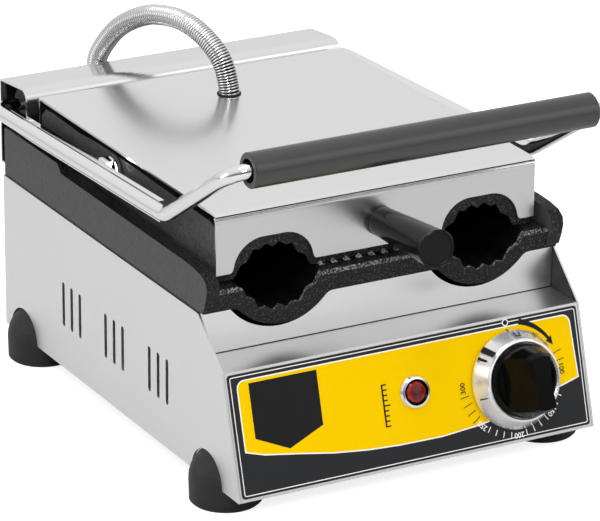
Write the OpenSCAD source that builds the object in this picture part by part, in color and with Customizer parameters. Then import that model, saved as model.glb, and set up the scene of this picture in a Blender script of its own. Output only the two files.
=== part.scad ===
// Counter-top waffle cone maker: a sheet steel base with a cast lower plate, a hinged
// bent-rod lift frame and a floating cast upper plate under a stainless cover.
// Millimetres, +Z up, front towards -Y, origin on the floor under the middle of the part.

/* [Housing] */
// Width over the two side panels
body_w = 260; // [256:1:264]
// Depth of the housing from the control face's foot to the rear panel
body_d = 340; // [338:1:346]
// Height of the housing's deck above the lower edge of its side panels
deck_z = 107.7; // [106:0.1:109]
// Thickness of the stainless sheet
sheet = 1.5; // [1:0.1:2]
// How far the sloping control face leans back
face_run = 22.9; // [20:0.1:25]
// Height of the sloping control face
face_rise = 78.5; // [76:0.1:80]
// Distance from the face's foot back to the upright apron
apron_y = 54.3; // [53:0.1:56]
// Length of one side vent
vent_len = 31; // [20:1:40]
// Width of one side vent
vent_w = 3.8; // [3:0.1:5]

/* [Feet] */
// Height of the side panels' lower edge above the floor
foot_drop = 16.3; // [12:0.1:20]
// Radius of a foot where it meets the floor
foot_r = 23.3; // [20:0.1:23.5]
// Distance of a foot's axis from the middle
foot_x = 116.5; // [116:0.1:117]
// Distance of the front feet behind the face's foot
foot_front_y = 42.9; // [42:0.1:44]
// Distance of the rear feet behind the face's foot
foot_rear_y = 310.9; // [300:0.1:312]

/* [Cone moulds] */
// Distance of each cone's axis from the middle
cone_x = 74.5; // [74:0.1:75]
// Width of a cone's mouth over its flutes
mouth_w = 59; // [56:0.1:59.5]
// Height of a cone's mouth over its flutes
mouth_h = 42.2; // [40:0.1:43]
// Length of the cone's cavity
cone_len = 165; // [140:1:175]
// Size of the cone's tip as a share of its mouth
cone_tip = 0.2; // [0.1:0.05:0.3]

/* [Lift frame] */
// Diameter of the bent rod
rod_d = 10; // [9:0.1:11]
// Distance of each side run from the middle
rod_x = 133; // [133:0.1:134]
// Outer diameter of the black grip
grip_d = 22.4; // [20:0.1:24]
// Length of the black grip
grip_len = 244; // [230:1:246]
// Greatest opening angle of the lift frame
open_max = 65; // [45:1:70]

/* [Front handle] */
// Length of the small handle in front of the cover
handle_len = 73; // [60:1:80]
// Radius of the small handle at the cover
handle_r0 = 9.9; // [8:0.1:11]
// Radius of the small handle at its tip
handle_r1 = 12.3; // [10:0.1:13]
// Angle by which the small handle rises towards its tip
handle_rise = 3.6; // [0:0.1:6]

/* [Controls] */
// Distance of the thermostat knob to the right of the middle
knob_x = 75; // [73:0.1:76]
// Height of the knob's axis up the control face
knob_s = 41; // [40:0.1:42]
// Diameter of the knob's bright skirt
knob_d = 64; // [60:0.1:65]
// Distance of the pilot lamp to the right of the middle
pilot_x = 2.2; // [0:0.1:5]
// Height of the pilot lamp up the control face
pilot_s = 46.2; // [40:0.1:50]

/* [Conduit] */
// Outer diameter of the spiral conduit
conduit_d = 14; // [12:0.1:14]

/* [Hidden] */
$fn = 64;
eps = 0.01;
half_w = body_w / 2;
panel_x = half_w - sheet;
face_lean = atan2(face_run, face_rise);
face_len = norm([face_run, face_rise]);
floor_plate_z = 20;
parting_z = 122.8;
parting_gap = 0.6;
upper_z = parting_z + parting_gap;
axis_z = parting_z + parting_gap / 2;
// a quarter of the fluted mouth, from its side to its crown, as shares of its half sizes
mouth_quarter = [[1, 0], [0.91, 0.15], [0.83, 0.39], [0.63, 0.53], [0.49, 0.88], [0.34, 0.84],
                 [0.17, 1], [0, 0.86]];
slab_y0 = 47;
slab_y1 = 316;
slab_z = 108;
wall_t = 9;
lower_x = half_w - 0.5;
bulge_x = 72.3;
bulge_z = 133.7;
bulge_r = 41.3;
cover_x = 115.6;
cover_top = 168.7;
cover_y = 57.4;
cover_back = 312;
upper_x = 115;
upper_y0 = 60;
upper_y1 = 309;
upper_wall = 7;
upper_top = 163;
upper_floor = 12;
// hinge, bend and grip points of the lift frame, seen from the side as [y, z]
hinge = [346, 153.3];
bend = [91.3, 160.9];
grip_at = [3.9, 216.3];
run_slope = atan2(bend[1] - hinge[1], hinge[0] - bend[0]);
rise_slope = atan2(grip_at[1] - bend[1], bend[0] - grip_at[0]);
rod_r = rod_d / 2;
grip_bend = 16;
side_bend = 22;
hinge_bend = 13;
strap_t = 3.5;
strap_h = 14;
strap_x = rod_x - rod_r - strap_t;
pivot = [198, 153.7];
stud_r = 5;
fit = 0.05;
boss_x = upper_x + 1;
chan_x = 120;
// hood: front and back legs, the arcs into its top as [y, z, radius], and the angle at which
// both meet the backward-falling top
chan_y0 = 321.5;
chan_y1 = 364.6;
chan_front = [329.5, 162.9, 8];
chan_rear = [362.1, 165.36, 2.5];
chan_fall = 84.63;
chan_low = 92;
bracket_x = 105;
bracket_t = 8;
collar_x = 96.5;
collar_t = 8;
deck_bar = 3;
bracket_bolt_x = [99, 116.8];
lip_screws = [-104, 50, 104];
rear_screws = [-105, 0, 105];
hood_screws = [-90, 90];
handle_at = [cover_y, 146.1];
conduit_foot = [1, 261];
conduit_back = [-43, 372.7];
conduit_in_z = 64;
gland_x = 70;
gland_z = 42;
knob_h = 38;
knob_bar = 17.4;
tip_y = (knob_s - knob_bar) * sin(face_lean) - knob_h * cos(face_lean);
back_y = conduit_back[1] + conduit_d / 2;
mid_y = (tip_y + back_y) / 2;

// ---------------------------------------------------------------- placing and shaping

// From the foot of the control face, at the side panels' lower edge, to the part's frame
module housing_frame() { translate([0, -mid_y, foot_drop]) children(); }

// Both halves of a symmetrical pair
module pair() { children(); mirror([1, 0, 0]) children(); }

// Onto the sloping control face: x across, y inwards, z up the slope
module on_face() { rotate([-face_lean, 0, 0]) children(); }

// A turned piece standing square on the control face, its own z pointing outwards
module out_of_face(x, s) { on_face() translate([x, 0, s]) rotate([90, 0, 0]) children(); }

// Extrudes a side view, drawn as [y, z], from x0 to x1
module side_view(x0, x1) {
  translate([x0, 0, 0]) rotate([90, 0, 90]) linear_extrude(x1 - x0) children();
}

// Extrudes a front view, drawn as [x, z], from y0 back to y1
module front_view(y0, y1) {
  translate([0, y1, 0]) rotate([90, 0, 0]) linear_extrude(y1 - y0) children();
}

// A round bar along x
module bar_x(x0, x1, y, z, r) { translate([x0, y, z]) rotate([0, 90, 0]) cylinder(h = x1 - x0, r = r); }

// A round bar along y
module bar_y(y0, y1, x, z, r) { translate([x, y0, z]) rotate([-90, 0, 0]) cylinder(h = y1 - y0, r = r); }

// A piece of a round bar bent through an angle, starting on the x axis
module elbow(bend_r, bar_r, angle) {
  rotate_extrude(angle = angle) translate([bend_r, 0]) circle(bar_r, $fn = 32);
}

// A hexagon given across its flats
module hexagon(across) { circle(r = across / sqrt(3), $fn = 6); }

// A pan head screw whose head stands on z = 0
module pan_screw(shank_r, shank, head_r, head) {
  difference() {
    rotate_extrude()
      polygon([[0, -shank], [shank_r, -shank], [shank_r, 0], [head_r, 0], [head_r, head * 0.5],
               [head_r * 0.7, head], [0, head]]);
    translate([0, 0, head * 0.5]) linear_extrude(head) square([head_r * 1.2, 0.8], center = true);
    translate([0, 0, head * 0.5]) linear_extrude(head) square([0.8, head_r * 1.2], center = true);
  }
}

// A slot with round ends, standing upright
module slot(w, h) {
  square([w, h - w], center = true);
  for (end = [-1, 1]) translate([0, end * (h - w) / 2]) circle(w / 2, $fn = 24);
}

// ---------------------------------------------------------------- swept tubes

// Smooth curve through hand-set points, with some steps between each two
function bow(a, b, c, d, t) =
  0.5 * (2 * b + (c - a) * t + (2 * a - 5 * b + 4 * c - d) * t * t + (3 * b - a - 3 * c + d) * t * t * t);
function smooth(p, steps) = [
  for (i = [0 : len(p) - 2], k = [0 : steps - 1])
    bow(p[max(i - 1, 0)], p[i], p[i + 1], p[min(i + 2, len(p) - 1)], k / steps),
  p[len(p) - 1]
];
function unit(v) = v / norm(v);
function along(p, i) = unit(p[min(i + 1, len(p) - 1)] - p[max(i - 1, 0)]);

// A tube swept along a path; side is a direction that the path never takes
module swept_tube(path, r, side, sides) {
  rings = [for (i = [0 : len(path) - 1])
    let (t = along(path, i), u = unit(cross(t, side)), v = cross(u, t))
      for (k = [0 : sides - 1]) path[i] + r * (cos(k * 360 / sides) * u + sin(k * 360 / sides) * v)];
  last = (len(path) - 1) * sides;
  walls = [for (i = [0 : len(path) - 2], k = [0 : sides - 1])
    let (n = (k + 1) % sides)
      each [[i * sides + k, (i + 1) * sides + n, i * sides + n],
            [i * sides + k, (i + 1) * sides + k, (i + 1) * sides + n]]];
  caps = [[for (k = [0 : sides - 1]) k], [for (k = [sides - 1 : -1 : 0]) last + k]];
  polyhedron(concat(rings, []), concat(walls, caps), convexity = 8);
}

// ---------------------------------------------------------------- housing

// Side view of the housing, with an arch over each foot
module housing_side() {
  difference() {
    polygon([[0, 0], [face_run, face_rise], [apron_y, deck_z], [body_d, deck_z], [body_d, 0]]);
    for (y = [foot_front_y, foot_rear_y]) translate([y, -1]) circle(20.8);
  }
}

// The nine side vents, in three groups of three
module side_vents() {
  for (group = [0 : 2], i = [-1 : 1])
    translate([109.5 + group * 63 + i * 12.4, 45.8]) slot(vent_w, vent_len);
}

// One side panel: sheet with a deck flange, a floor flange and a flange behind the face
module side_panel() {
  side_view(panel_x, half_w) difference() { housing_side(); side_vents(); }
  difference() {
    side_view(113, panel_x + eps)
      translate([apron_y + 3, deck_z - sheet]) square([body_d - apron_y - 5, sheet]);
    translate([bracket_bolt_x[1], 331, deck_z - 5]) cylinder(h = 8, r = 2.1);
  }
  side_view(116, panel_x + eps) translate([70, floor_plate_z + sheet + 0.1]) square([210, sheet]);
  side_view(118, panel_x + eps) rotate(90 - face_lean)
    translate([24, -2 * sheet - 0.2]) square([face_len - 30, sheet]);
}

module side_panel_left() { color("silver") housing_frame() mirror([1, 0, 0]) side_panel(); }
module side_panel_right() { color("silver") housing_frame() side_panel(); }

// Folded front sheet: control face, shelf and upright apron, with a lip under the face
module front_panel() {
  fold = [[0, 0], [face_run, face_rise], [apron_y, face_rise], [apron_y, deck_z]];
  skin = sheet / cos(face_lean);
  inner = [[apron_y + sheet, deck_z], [apron_y + sheet, face_rise - sheet],
           [(face_rise - sheet) * tan(face_lean) + skin, face_rise - sheet],
           [sheet * tan(face_lean) + skin, sheet], [12, sheet], [12, 0]];
  color("gainsboro") housing_frame() difference() {
    side_view(-panel_x + 0.2, panel_x - 0.2) polygon(concat(fold, inner));
    pair() front_view(apron_y - 5, apron_y + 5) translate([bulge_x, bulge_z]) circle(bulge_r + 3.2, $fn = 96);
    out_of_face(knob_x, knob_s) cylinder(h = 10, r = 5.4, center = true);
    out_of_face(pilot_x, pilot_s) cylinder(h = 10, r = 8.2, center = true);
    for (x = lip_screws) translate([x, 7, -1]) cylinder(h = 4, r = 2.1);
  }
}

// Rear panel with louvres, the cable gland's hole and the conduit's hole
module rear_panel() {
  color("silver") housing_frame() difference() {
    union() {
      front_view(body_d - sheet, body_d)
        translate([-panel_x + 0.2, 0]) square([2 * panel_x - 0.4, deck_z - sheet - 0.2]);
      translate([-88, body_d - 12, 0]) cube([176, 12 - sheet + eps, sheet]);
    }
    for (i = [-3 : 3]) translate([i * 9, body_d, 38]) rotate([90, 0, 0])
      linear_extrude(10, center = true) slot(3.2, 34);
    bar_y(body_d - 5, body_d + 5, gland_x, gland_z, 8.1);
    bar_y(body_d - 5, body_d + 5, conduit_back[0], conduit_in_z, 8.1);
    for (x = rear_screws) bar_y(body_d - 5, body_d + 5, x, 12, 2.1);
    for (x = hood_screws) bar_y(body_d - 5, body_d + 5, x, 97.6, 2.1);
  }
}

// Floor plate that carries the feet and the terminal block, with a field of vent slots and
// a notch in front that clears the thermostat
module bottom_plate() {
  color("darkgray") housing_frame() difference() {
    translate([-panel_x + 0.3, 18, floor_plate_z]) cube([2 * panel_x - 0.6, body_d - 21, sheet]);
    for (x = [-60 : 20 : 60], y = [90, 150, 210]) translate([x, y, floor_plate_z - 1])
      linear_extrude(sheet + 2) slot(5, 40);
    pair() for (y = [foot_front_y, foot_rear_y]) translate([foot_x, y, floor_plate_z - 1])
      cylinder(h = sheet + 2, r = 3.2);
    translate([knob_x - 22, 0, floor_plate_z - 1]) cube([44, 46, sheet + 2]);
  }
}

// Printed face plate over the whole control face, with windows for the lamp and the spindle
module control_label() {
  color("gold") housing_frame() difference() {
    on_face() translate([-127, -0.6, 2]) cube([254, 0.6, 78]);
    out_of_face(knob_x, knob_s) cylinder(h = 10, r = 9, center = true);
    out_of_face(pilot_x, pilot_s) cylinder(h = 10, r = 8.4, center = true);
  }
}

// Rubber foot: a short cylinder under a dome, hollow below round its bolt
module foot(x, y) {
  dome_r = 23.6;
  dome = [for (a = [0 : 10 : 50]) [dome_r * cos(a), dome_r * sin(a) - 1]];
  color("dimgray") housing_frame() translate([x, y, 0]) difference() {
    rotate_extrude($fn = 96) polygon(concat(
      [[0, -foot_drop], [foot_r - 1.5, -foot_drop], [foot_r, 1.5 - foot_drop]], dome,
      [[12, floor_plate_z], [0, floor_plate_z]]));
    translate([0, 0, -foot_drop - 1]) cylinder(h = 13, r = 9);
    cylinder(h = 60, r = 3.2, center = true);
  }
}

module foot_front_left() { foot(-foot_x, foot_front_y); }
module foot_front_right() { foot(foot_x, foot_front_y); }
module foot_rear_left() { foot(-foot_x, foot_rear_y); }
module foot_rear_right() { foot(foot_x, foot_rear_y); }

// The bolts that clamp the feet to the floor plate, each with its washer and nut
module foot_bolts() {
  color("lightgray") housing_frame() for (x = [-foot_x, foot_x], y = [foot_front_y, foot_rear_y])
    translate([x, y, 0]) {
      translate([0, 0, -foot_drop + 10.7]) cylinder(h = 1.2, r = 8);
      translate([0, 0, -foot_drop + 6.7]) linear_extrude(4 + eps) hexagon(10);
      translate([0, 0, -foot_drop + 11]) cylinder(h = 44 - 11, r = 3);
      translate([0, 0, floor_plate_z + sheet]) linear_extrude(5) hexagon(10);
    }
}

// ---------------------------------------------------------------- cone moulds

// Outline of a mouth: seven flutes on each side, mirrored from one quarter
module mouth_outline() {
  n = len(mouth_quarter);
  q = [for (p = mouth_quarter) [p[0] * mouth_w / 2, p[1] * mouth_h / 2]];
  polygon(concat(q, [for (i = [n - 2 : -1 : 0]) [-q[i][0], q[i][1]]],
                 [for (i = [1 : n - 1]) [-q[i][0], -q[i][1]]], [for (i = [n - 2 : -1 : 1]) [q[i][0], -q[i][1]]]));
}

// Both cavities: straight in front of the castings, then tapering to the cones' tips
module cavities() {
  for (side = [-1, 1]) translate([side * cone_x, slab_y0 + 3, axis_z]) {
    rotate([-90, 0, 0]) linear_extrude(cone_len, scale = cone_tip) mouth_outline();
    translate([0, eps, 0]) rotate([90, 0, 0]) linear_extrude(20) mouth_outline();
  }
}

// Lower mould plate: side walls with rounded noses, a lipped slab, two hanging bulges with
// a fillet on each side, and a row of small teeth behind the lip between the cones
module lower_casting() {
  wall = [[52.7, slab_z], [47.9, 110.8], [44.8, 118.7], [43.2, 125.5], [44.4, 130.2],
          [49.6, 133.6], [59.8, 135.4], [74.4, 136.2], [250, 137], [255.5, 142.5],
          [336, 142.5], [338, 140.5], [338, slab_z]];
  slab = [[50, slab_z], [slab_y0, 120.5], [slab_y0 + 2, parting_z], [slab_y1, parting_z],
          [slab_y1, slab_z]];
  pitch = 9.1;
  color("darkslategray") housing_frame() difference() {
    union() {
      pair() side_view(lower_x - wall_t, lower_x) polygon(wall);
      side_view(-lower_x + 1, lower_x - 1) polygon(slab);
      intersection() {
        pair() translate([bulge_x, 50, bulge_z]) rotate([-90, 0, 0])
          cylinder(h = 190, r1 = bulge_r, r2 = 27, $fn = 96);
        translate([-half_w, 0, 0]) cube([body_w, body_d, slab_z + 1]);
      }
      pair() for (side = [-1, 1]) front_view(50, 58) translate([bulge_x, slab_z]) difference() {
        polygon([for (p = [[27, -2.6], [36, -2.6], [36, 1], [27, 1]]) [side * p[0], p[1]]]);
        translate([side * 36, -8]) circle(8);
      }
      for (i = [-4.5 : 4.5]) translate([i * pitch, 0, 0]) front_view(upper_y0 - 4, upper_y0 - 0.5)
        polygon([[-3.6, parting_z - 1], [0, parting_z + 2.8], [3.6, parting_z - 1]]);
    }
    cavities();
  }
}

// Upper mould plate: a walled tray whose floor carries the cones' upper halves
module upper_casting() {
  rim = [[upper_y0, upper_z], [upper_y0, 159], [upper_y0 + 6, upper_top - 1], [140, upper_top],
         [175, upper_top + 1.2], [225, upper_top + 1], [250, upper_top - 0.6], [288, upper_top + 0.8],
         [upper_y1 - 7, upper_top + 0.6], [upper_y1, upper_top - 6], [upper_y1, upper_z]];
  color("dimgray") housing_frame() difference() {
    union() {
      difference() {
        side_view(-upper_x, upper_x) polygon(rim);
        translate([-upper_x + upper_wall, upper_y0 + upper_wall, upper_z + upper_floor])
          cube([2 * (upper_x - upper_wall), upper_y1 - upper_y0 - 2 * upper_wall, 60]);
      }
      intersection() {
        pair() translate([cone_x, upper_y0 + 1, axis_z]) rotate([-90, 0, 0])
          cylinder(h = 190, r1 = 31, r2 = 14, $fn = 96);
        translate([-upper_x, 0, upper_z]) cube([2 * upper_x, body_d, 100]);
      }
      pair() bar_x(101, boss_x, pivot[0], pivot[1], 11);
      bar_y(upper_y0 + 1, upper_y0 + 20, 0, handle_at[1], 10);
    }
    cavities();
    pair() bar_x(90, half_w, pivot[0], pivot[1], stud_r + fit);
    bar_y(0, upper_y0 + 16, 0, handle_at[1] + 0.6, 4.1);
    for (x = [-70, 70]) bar_y(upper_y1 - 5, upper_y1 + 5, x, 158, 2.1);
  }
}

// ---------------------------------------------------------------- heating and insulation

// A tubular element bent into a U: two legs joined round the back, with terminal pins
module heater_u(x0, x1, y0, y1, z, r) {
  r_end = (x1 - x0) / 2;
  for (x = [x0, x1]) {
    bar_y(y0, y1, x, z, r);
    bar_y(y0 - 14, y0 + eps, x, z, 1.6);
  }
  translate([(x0 + x1) / 2, y1, z]) elbow(r_end, r, 180);
}

module lower_heater() { color("slategray") housing_frame() pair() heater_u(34, 108, 84, 246, slab_z - 4, 3.9); }

module upper_heater() {
  color("slategray") housing_frame() heater_u(-34, 34, 92, 250, upper_z + upper_floor + 4, 3.9);
}

// Mineral wool slabs, below the lower plate and under the cover
module lower_insulation() {
  color("khaki") housing_frame() translate([-112, 66, 67]) cube([224, 256, 20]);
}

module upper_insulation() {
  color("khaki") housing_frame() difference() {
    translate([-106, 70, 156.6]) cube([212, 230, 10]);
    pair() translate([100, pivot[0] - 12, 150]) cube([10, 24, 30]);
    translate([conduit_foot[0], conduit_foot[1], 150]) cylinder(h = 30, r = 10);
  }
}

// Folded tray that holds the lower wool slab up against the element
module heat_shield() {
  color("darkgray") housing_frame() difference() {
    translate([-113.5, 64.5, 65.8]) cube([227, 259, 12]);
    translate([-112.3, 65.7, 67]) cube([224.6, 256.6, 20]);
  }
}

// ---------------------------------------------------------------- controls

// Thermostat behind the face: a drum on a square frame, with tabs and a threaded neck
module thermostat_body() {
  color("linen") housing_frame() out_of_face(knob_x, knob_s) difference() {
    union() {
      translate([0, 0, -sheet - 0.3 - 6]) linear_extrude(6) square([34, 34], center = true);
      translate([0, 0, -28]) cylinder(h = 21, r = 19);
      for (x = [-8, 8], y = [-6, 6]) translate([x, y, -36]) linear_extrude(9) square([6.3, 0.8], center = true);
      translate([0, 0, -sheet - 0.4]) cylinder(h = 6.5, r = 5);
    }
    translate([0, 0, -14]) cylinder(h = 40, r = 3 + fit);
  }
}

// The nut that clamps the thermostat's neck to the face
module thermostat_nut() {
  color("silver") housing_frame() out_of_face(knob_x, knob_s) difference() {
    linear_extrude(3) hexagon(14);
    translate([0, 0, -1]) cylinder(h = 5, r = 5.05);
  }
}

// Copper sensing bulb clipped under the lower plate, with its capillary to the thermostat
module sensor_bulb() {
  cap_r = 1;
  turn = 14;
  color("peru") housing_frame() {
    bar_y(120, 190, 8, slab_z - 3.2, 3);
    bar_y(76, 120, 8, slab_z - 3.2, cap_r);
    translate([8, 76, slab_z - 3.2 - turn]) rotate([0, -90, 0]) elbow(turn, cap_r, -90);
    translate([8, 76 - turn, 60]) cylinder(h = slab_z - 3.2 - turn - 60, r = cap_r);
    for (y = [135, 175]) translate([8, y, slab_z - 7.5]) linear_extrude(7.5) difference() {
      square([12, 6], center = true);
      square([6.4, 7], center = true);
    }
  }
}

module pilot_bezel() {
  color("lightgray") housing_frame() out_of_face(pilot_x, pilot_s) rotate_extrude()
    polygon([[7, 0.6], [10.8, 0.6], [10.8, 1.4], [9.8, 2.8], [8.4, 3.2], [7, 2.4]]);
}

module pilot_lens() {
  color("firebrick") housing_frame() out_of_face(pilot_x, pilot_s) rotate_extrude()
    polygon([[0, 0.6], [6.9, 0.6], [6.9, 2.4], [5.8, 3.4], [3.5, 4.3], [0, 4.7]]);
}

module pilot_body() {
  color("white") housing_frame() out_of_face(pilot_x, pilot_s) {
    translate([0, 0, -24]) cylinder(h = 24.5, r = 8);
    for (x = [-4, 4]) translate([x, 0, -32]) linear_extrude(9) square([4.8, 0.8], center = true);
  }
}

// The spindle turns in the thermostat's neck and carries the knob
module thermostat_spindle() {
  color("goldenrod") housing_frame() out_of_face(knob_x, knob_s) difference() {
    translate([0, 0, -13]) cylinder(h = 37, r = 3);
    translate([-5, 1.5, 8]) cube([10, 5, 20]);
  }
}

// Bright conical skirt of the knob, rolled in at its front rim
module knob_skirt() {
  r = knob_d / 2;
  color("lightgray") housing_frame() out_of_face(knob_x, knob_s) rotate_extrude($fn = 96)
    polygon([[10, 6.5], [r - 5, 6.5], [r - 2.2, 1.6], [r - 0.6, 1.6], [r, 2.2], [r, 3.2],
             [27, 12.8], [26.2, 13.9], [25.2, 14], [24.2, 13.2], [24.2, 8], [10, 8]]);
}

// Black grip of the knob: a turned disc with a tall finger bar across it; each flank of the
// bar is scooped by a leaning cylinder, so the bar is waisted and flares to the disc
module knob_grip() {
  r = 23.8;
  scoop = 70;
  lean = 21;
  waist = 5.6;
  color("black") housing_frame() out_of_face(knob_x, knob_s) difference() {
    union() {
      rotate_extrude($fn = 96) polygon([[0, 8], [r, 8], [r, 14], [r - 1, 15.2], [r - 2.6, 15.6],
                                        [r - 5, 13.6], [0, 13.6]]);
      translate([0, 0, 5.2]) cylinder(h = 4, r = 8.5);
      difference() {
        intersection() {
          rotate([90, 0, 0]) linear_extrude(2 * r, center = true)
            polygon([[-18, 12], [-18, 16], [-7.6, knob_h - 0.9], [-6.7, knob_h], [6.7, knob_h],
                     [7.6, knob_h - 0.9], [18, 16], [18, 12]]);
          rotate_extrude($fn = 96) polygon([[0, 12], [r - 0.6, 12], [r - 1.4, 22], [r - 4.4, 34],
                                            [knob_bar, knob_h], [0, knob_h]]);
        }
        for (side = [-1, 1]) translate([side * (waist + scoop / cos(lean)), 0, knob_h])
          rotate([0, -side * lean, 0]) cylinder(h = 140, r = scoop, center = true, $fn = 240);
      }
    }
    difference() {
      translate([0, 0, -1]) cylinder(h = 25.2, r = 3);
      translate([-5, 1.5, 8]) cube([10, 5, 20]);
    }
  }
}

// ---------------------------------------------------------------- supply side

module terminal_block() {
  color("ivory") housing_frame() translate([40, 290, floor_plate_z + sheet]) difference() {
    union() {
      cube([44, 22, 10]);
      for (i = [0 : 3]) translate([2 + i * 10.5, 4, 9]) cube([8.5, 14, 8]);
    }
    for (i = [0 : 3]) {
      translate([6.25 + i * 10.5, 7, 12]) cylinder(h = 10, r = 2, $fn = 24);
      translate([6.25 + i * 10.5, 15, 12]) cylinder(h = 10, r = 2, $fn = 24);
      translate([6.25 + i * 10.5, -1, 13]) rotate([-90, 0, 0]) cylinder(h = 30, r = 1.6, $fn = 24);
    }
  }
}

// Threaded gland for the supply cord: nut inside, hexagon and domed cap outside
module gland(x, z, hole_r, cap) {
  translate([x, body_d, z]) rotate([-90, 0, 0]) difference() {
    union() {
      translate([0, 0, -9]) cylinder(h = 12, r = 8);
      translate([0, 0, -sheet - 4.2]) linear_extrude(4) hexagon(21);
      linear_extrude(4) hexagon(22);
      rotate_extrude() polygon([[0, 4], [9.5, 4], [9.5, cap - 2], [8, cap], [0, cap]]);
    }
    translate([0, 0, -20]) cylinder(h = 60, r = hole_r);
  }
}

module cable_gland() { color("black") housing_frame() gland(gland_x, gland_z, 4.2, 18); }
module conduit_gland() {
  color("silver") housing_frame() gland(conduit_back[0], conduit_in_z, conduit_d / 2 + 0.25, 8);
}

// ---------------------------------------------------------------- hinge

// Bar across the back of the deck, under the hinge brackets
module hinge_deck() {
  color("gray") housing_frame() difference() {
    translate([-120.2, chan_y0 + 2, deck_z]) cube([240.4, body_d - chan_y0 - 3, deck_bar]);
    pair() for (x = bracket_bolt_x) translate([x, 331, 0]) cylinder(h = 200, r = 2.1);
  }
}

// One hinge bracket: a foot on the deck bar and an upright cheek round the rod
module hinge_bracket() {
  foot_z = deck_z + deck_bar;
  difference() {
    union() {
      side_view(bracket_x, bracket_x + bracket_t) difference() {
        union() {
          translate(hinge) circle(10.5);
          polygon([[324, foot_z], [338.5, foot_z], [350, 122], [356.2, 150], [336, 157], [324, 128]]);
        }
        translate([338, 128]) circle(4.5);
      }
      translate([95, 324, foot_z]) cube([25.2, 14.5, 4]);
    }
    bar_x(80, half_w, hinge[0], hinge[1], rod_r + fit);
    for (x = bracket_bolt_x) translate([x, 331, 0]) cylinder(h = foot_z + 6, r = 2.1);
  }
}

module hinge_bracket_left() { color("gray") housing_frame() mirror([1, 0, 0]) hinge_bracket(); }
module hinge_bracket_right() { color("gray") housing_frame() hinge_bracket(); }

// Bolts through the bracket feet, the deck bar and the side panels' flanges
module bracket_bolts() {
  top = deck_z + deck_bar + 4;
  color("lightgray") housing_frame() pair() for (x = bracket_bolt_x) translate([x, 331, 0])
    difference() {
      union() {
        translate([0, 0, top]) cylinder(h = 4, r = 3.45);
        translate([0, 0, deck_z - 8]) cylinder(h = top - deck_z + 9, r = 2);
      }
      translate([0, 0, top + 1.8]) linear_extrude(4) hexagon(3);
    }
}

// Points of one of the hood's arcs, on a sheet face that lies t inside its outer face
function hood_arc(c, t, from, to) = [for (i = [0 : 8])
  let (a = from + (to - from) * i / 8) [c[0] + (c[2] - t) * cos(a), c[1] + (c[2] - t) * sin(a)]];

// Bent stainless hood over the hinge: it stands on the deck in front, and its back leg
// turns in under itself to meet the rear panel
module spring_housing() {
  lip_y = body_d + eps;
  outer = concat([[chan_y0, deck_z]], hood_arc(chan_front, 0, 180, chan_fall),
    hood_arc(chan_rear, 0, chan_fall, 0), [[chan_y1, deck_z], [lip_y + sheet, deck_z]]);
  inner = concat([[lip_y, deck_z + sheet], [chan_y1 - sheet, deck_z + sheet]],
    hood_arc(chan_rear, sheet, 0, chan_fall), hood_arc(chan_front, sheet, chan_fall, 180),
    [[chan_y0 + sheet, deck_z]]);
  color("gainsboro") housing_frame() difference() {
    side_view(-chan_x, chan_x)
      polygon(concat(outer, [[lip_y + sheet, chan_low], [lip_y, chan_low]], inner));
    for (x = hood_screws) bar_y(body_d - 2, body_d + 6, x, 97.6, 2.1);
  }
}

// Counterbalance spring: a close coil round the rod with one leg on the deck bar
module torsion_spring() {
  coil_r = 7.2;
  wire_r = 1.3;
  turns = 11;
  pitch = 2.8;
  x0 = 52;
  steps = 14;
  coil = [for (i = [0 : turns * steps])
    let (a = -90 + i * 360 / steps)
      [x0 + i * pitch / steps, hinge[0] + coil_r * cos(a), hinge[1] + coil_r * sin(a)]];
  leg = [[x0, hinge[0] - 20, hinge[1] - coil_r - 6], [x0, hinge[0] - 6, hinge[1] - coil_r - 0.6]];
  x_end = x0 + turns * pitch;
  tail = [[x_end + 3, hinge[0] + 2, hinge[1] - coil_r], [x_end + 12, hinge[0] + 3, hinge[1] - coil_r + 0.6]];
  spring_wire(concat(leg, coil, tail), wire_r, 6);
}

// Wire swept with its rings turned to the coil's own axis
module spring_wire(path, r, sides) {
  rings = [for (i = [0 : len(path) - 1])
    let (t = along(path, i), lean = abs(t[0]) > 0.7 ? [0, 0, 1] : [1, 0, 0],
         u = unit(cross(t, lean)), v = cross(u, t))
      for (k = [0 : sides - 1]) path[i] + r * (cos(k * 360 / sides) * u + sin(k * 360 / sides) * v)];
  last = (len(path) - 1) * sides;
  walls = [for (i = [0 : len(path) - 2], k = [0 : sides - 1])
    let (n = (k + 1) % sides)
      each [[i * sides + k, (i + 1) * sides + n, i * sides + n],
            [i * sides + k, (i + 1) * sides + k, (i + 1) * sides + n]]];
  polyhedron(rings, concat(walls, [[for (k = [0 : sides - 1]) k],
    [for (k = [sides - 1 : -1 : 0]) last + k]]), convexity = 10);
}

module torsion_spring_left() { color("silver") housing_frame() mirror([1, 0, 0]) torsion_spring(); }
module torsion_spring_right() { color("silver") housing_frame() torsion_spring(); }

// ---------------------------------------------------------------- conduit

// The conduit's arch as [distance behind its front foot, height]
arch = [[0, 158], [0, 166], [0.2, 172], [3.5, 184.3], [8.5, 192.9], [17.3, 201], [31, 208.4],
        [47, 211.8], [65.2, 210.5], [76, 207.3], [86.6, 202.5], [96.8, 196.1], [104.6, 189.2],
        [112.3, 180], [116.9, 173], [119.6, 166.5], [120, 158]];
arch_dir = unit([conduit_back[0] - conduit_foot[0], conduit_back[1] - conduit_foot[1], 0]);
conduit_route = concat(
  [for (p = arch) [conduit_foot[0], conduit_foot[1], p[1]] + p[0] * arch_dir],
  [for (p = [[372.7, 134], [372.7, 100], [371.8, 88], [366.8, 73.5], [358.6, 65.8], [350, 64],
             [342, 64], [334, 64]]) [conduit_back[0], p[0], p[1]]]);

module conduit() {
  color("silver") housing_frame()
    swept_tube(smooth(conduit_route, 3), conduit_d / 2, [arch_dir[1], -arch_dir[0], 0], 12);
}

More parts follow.
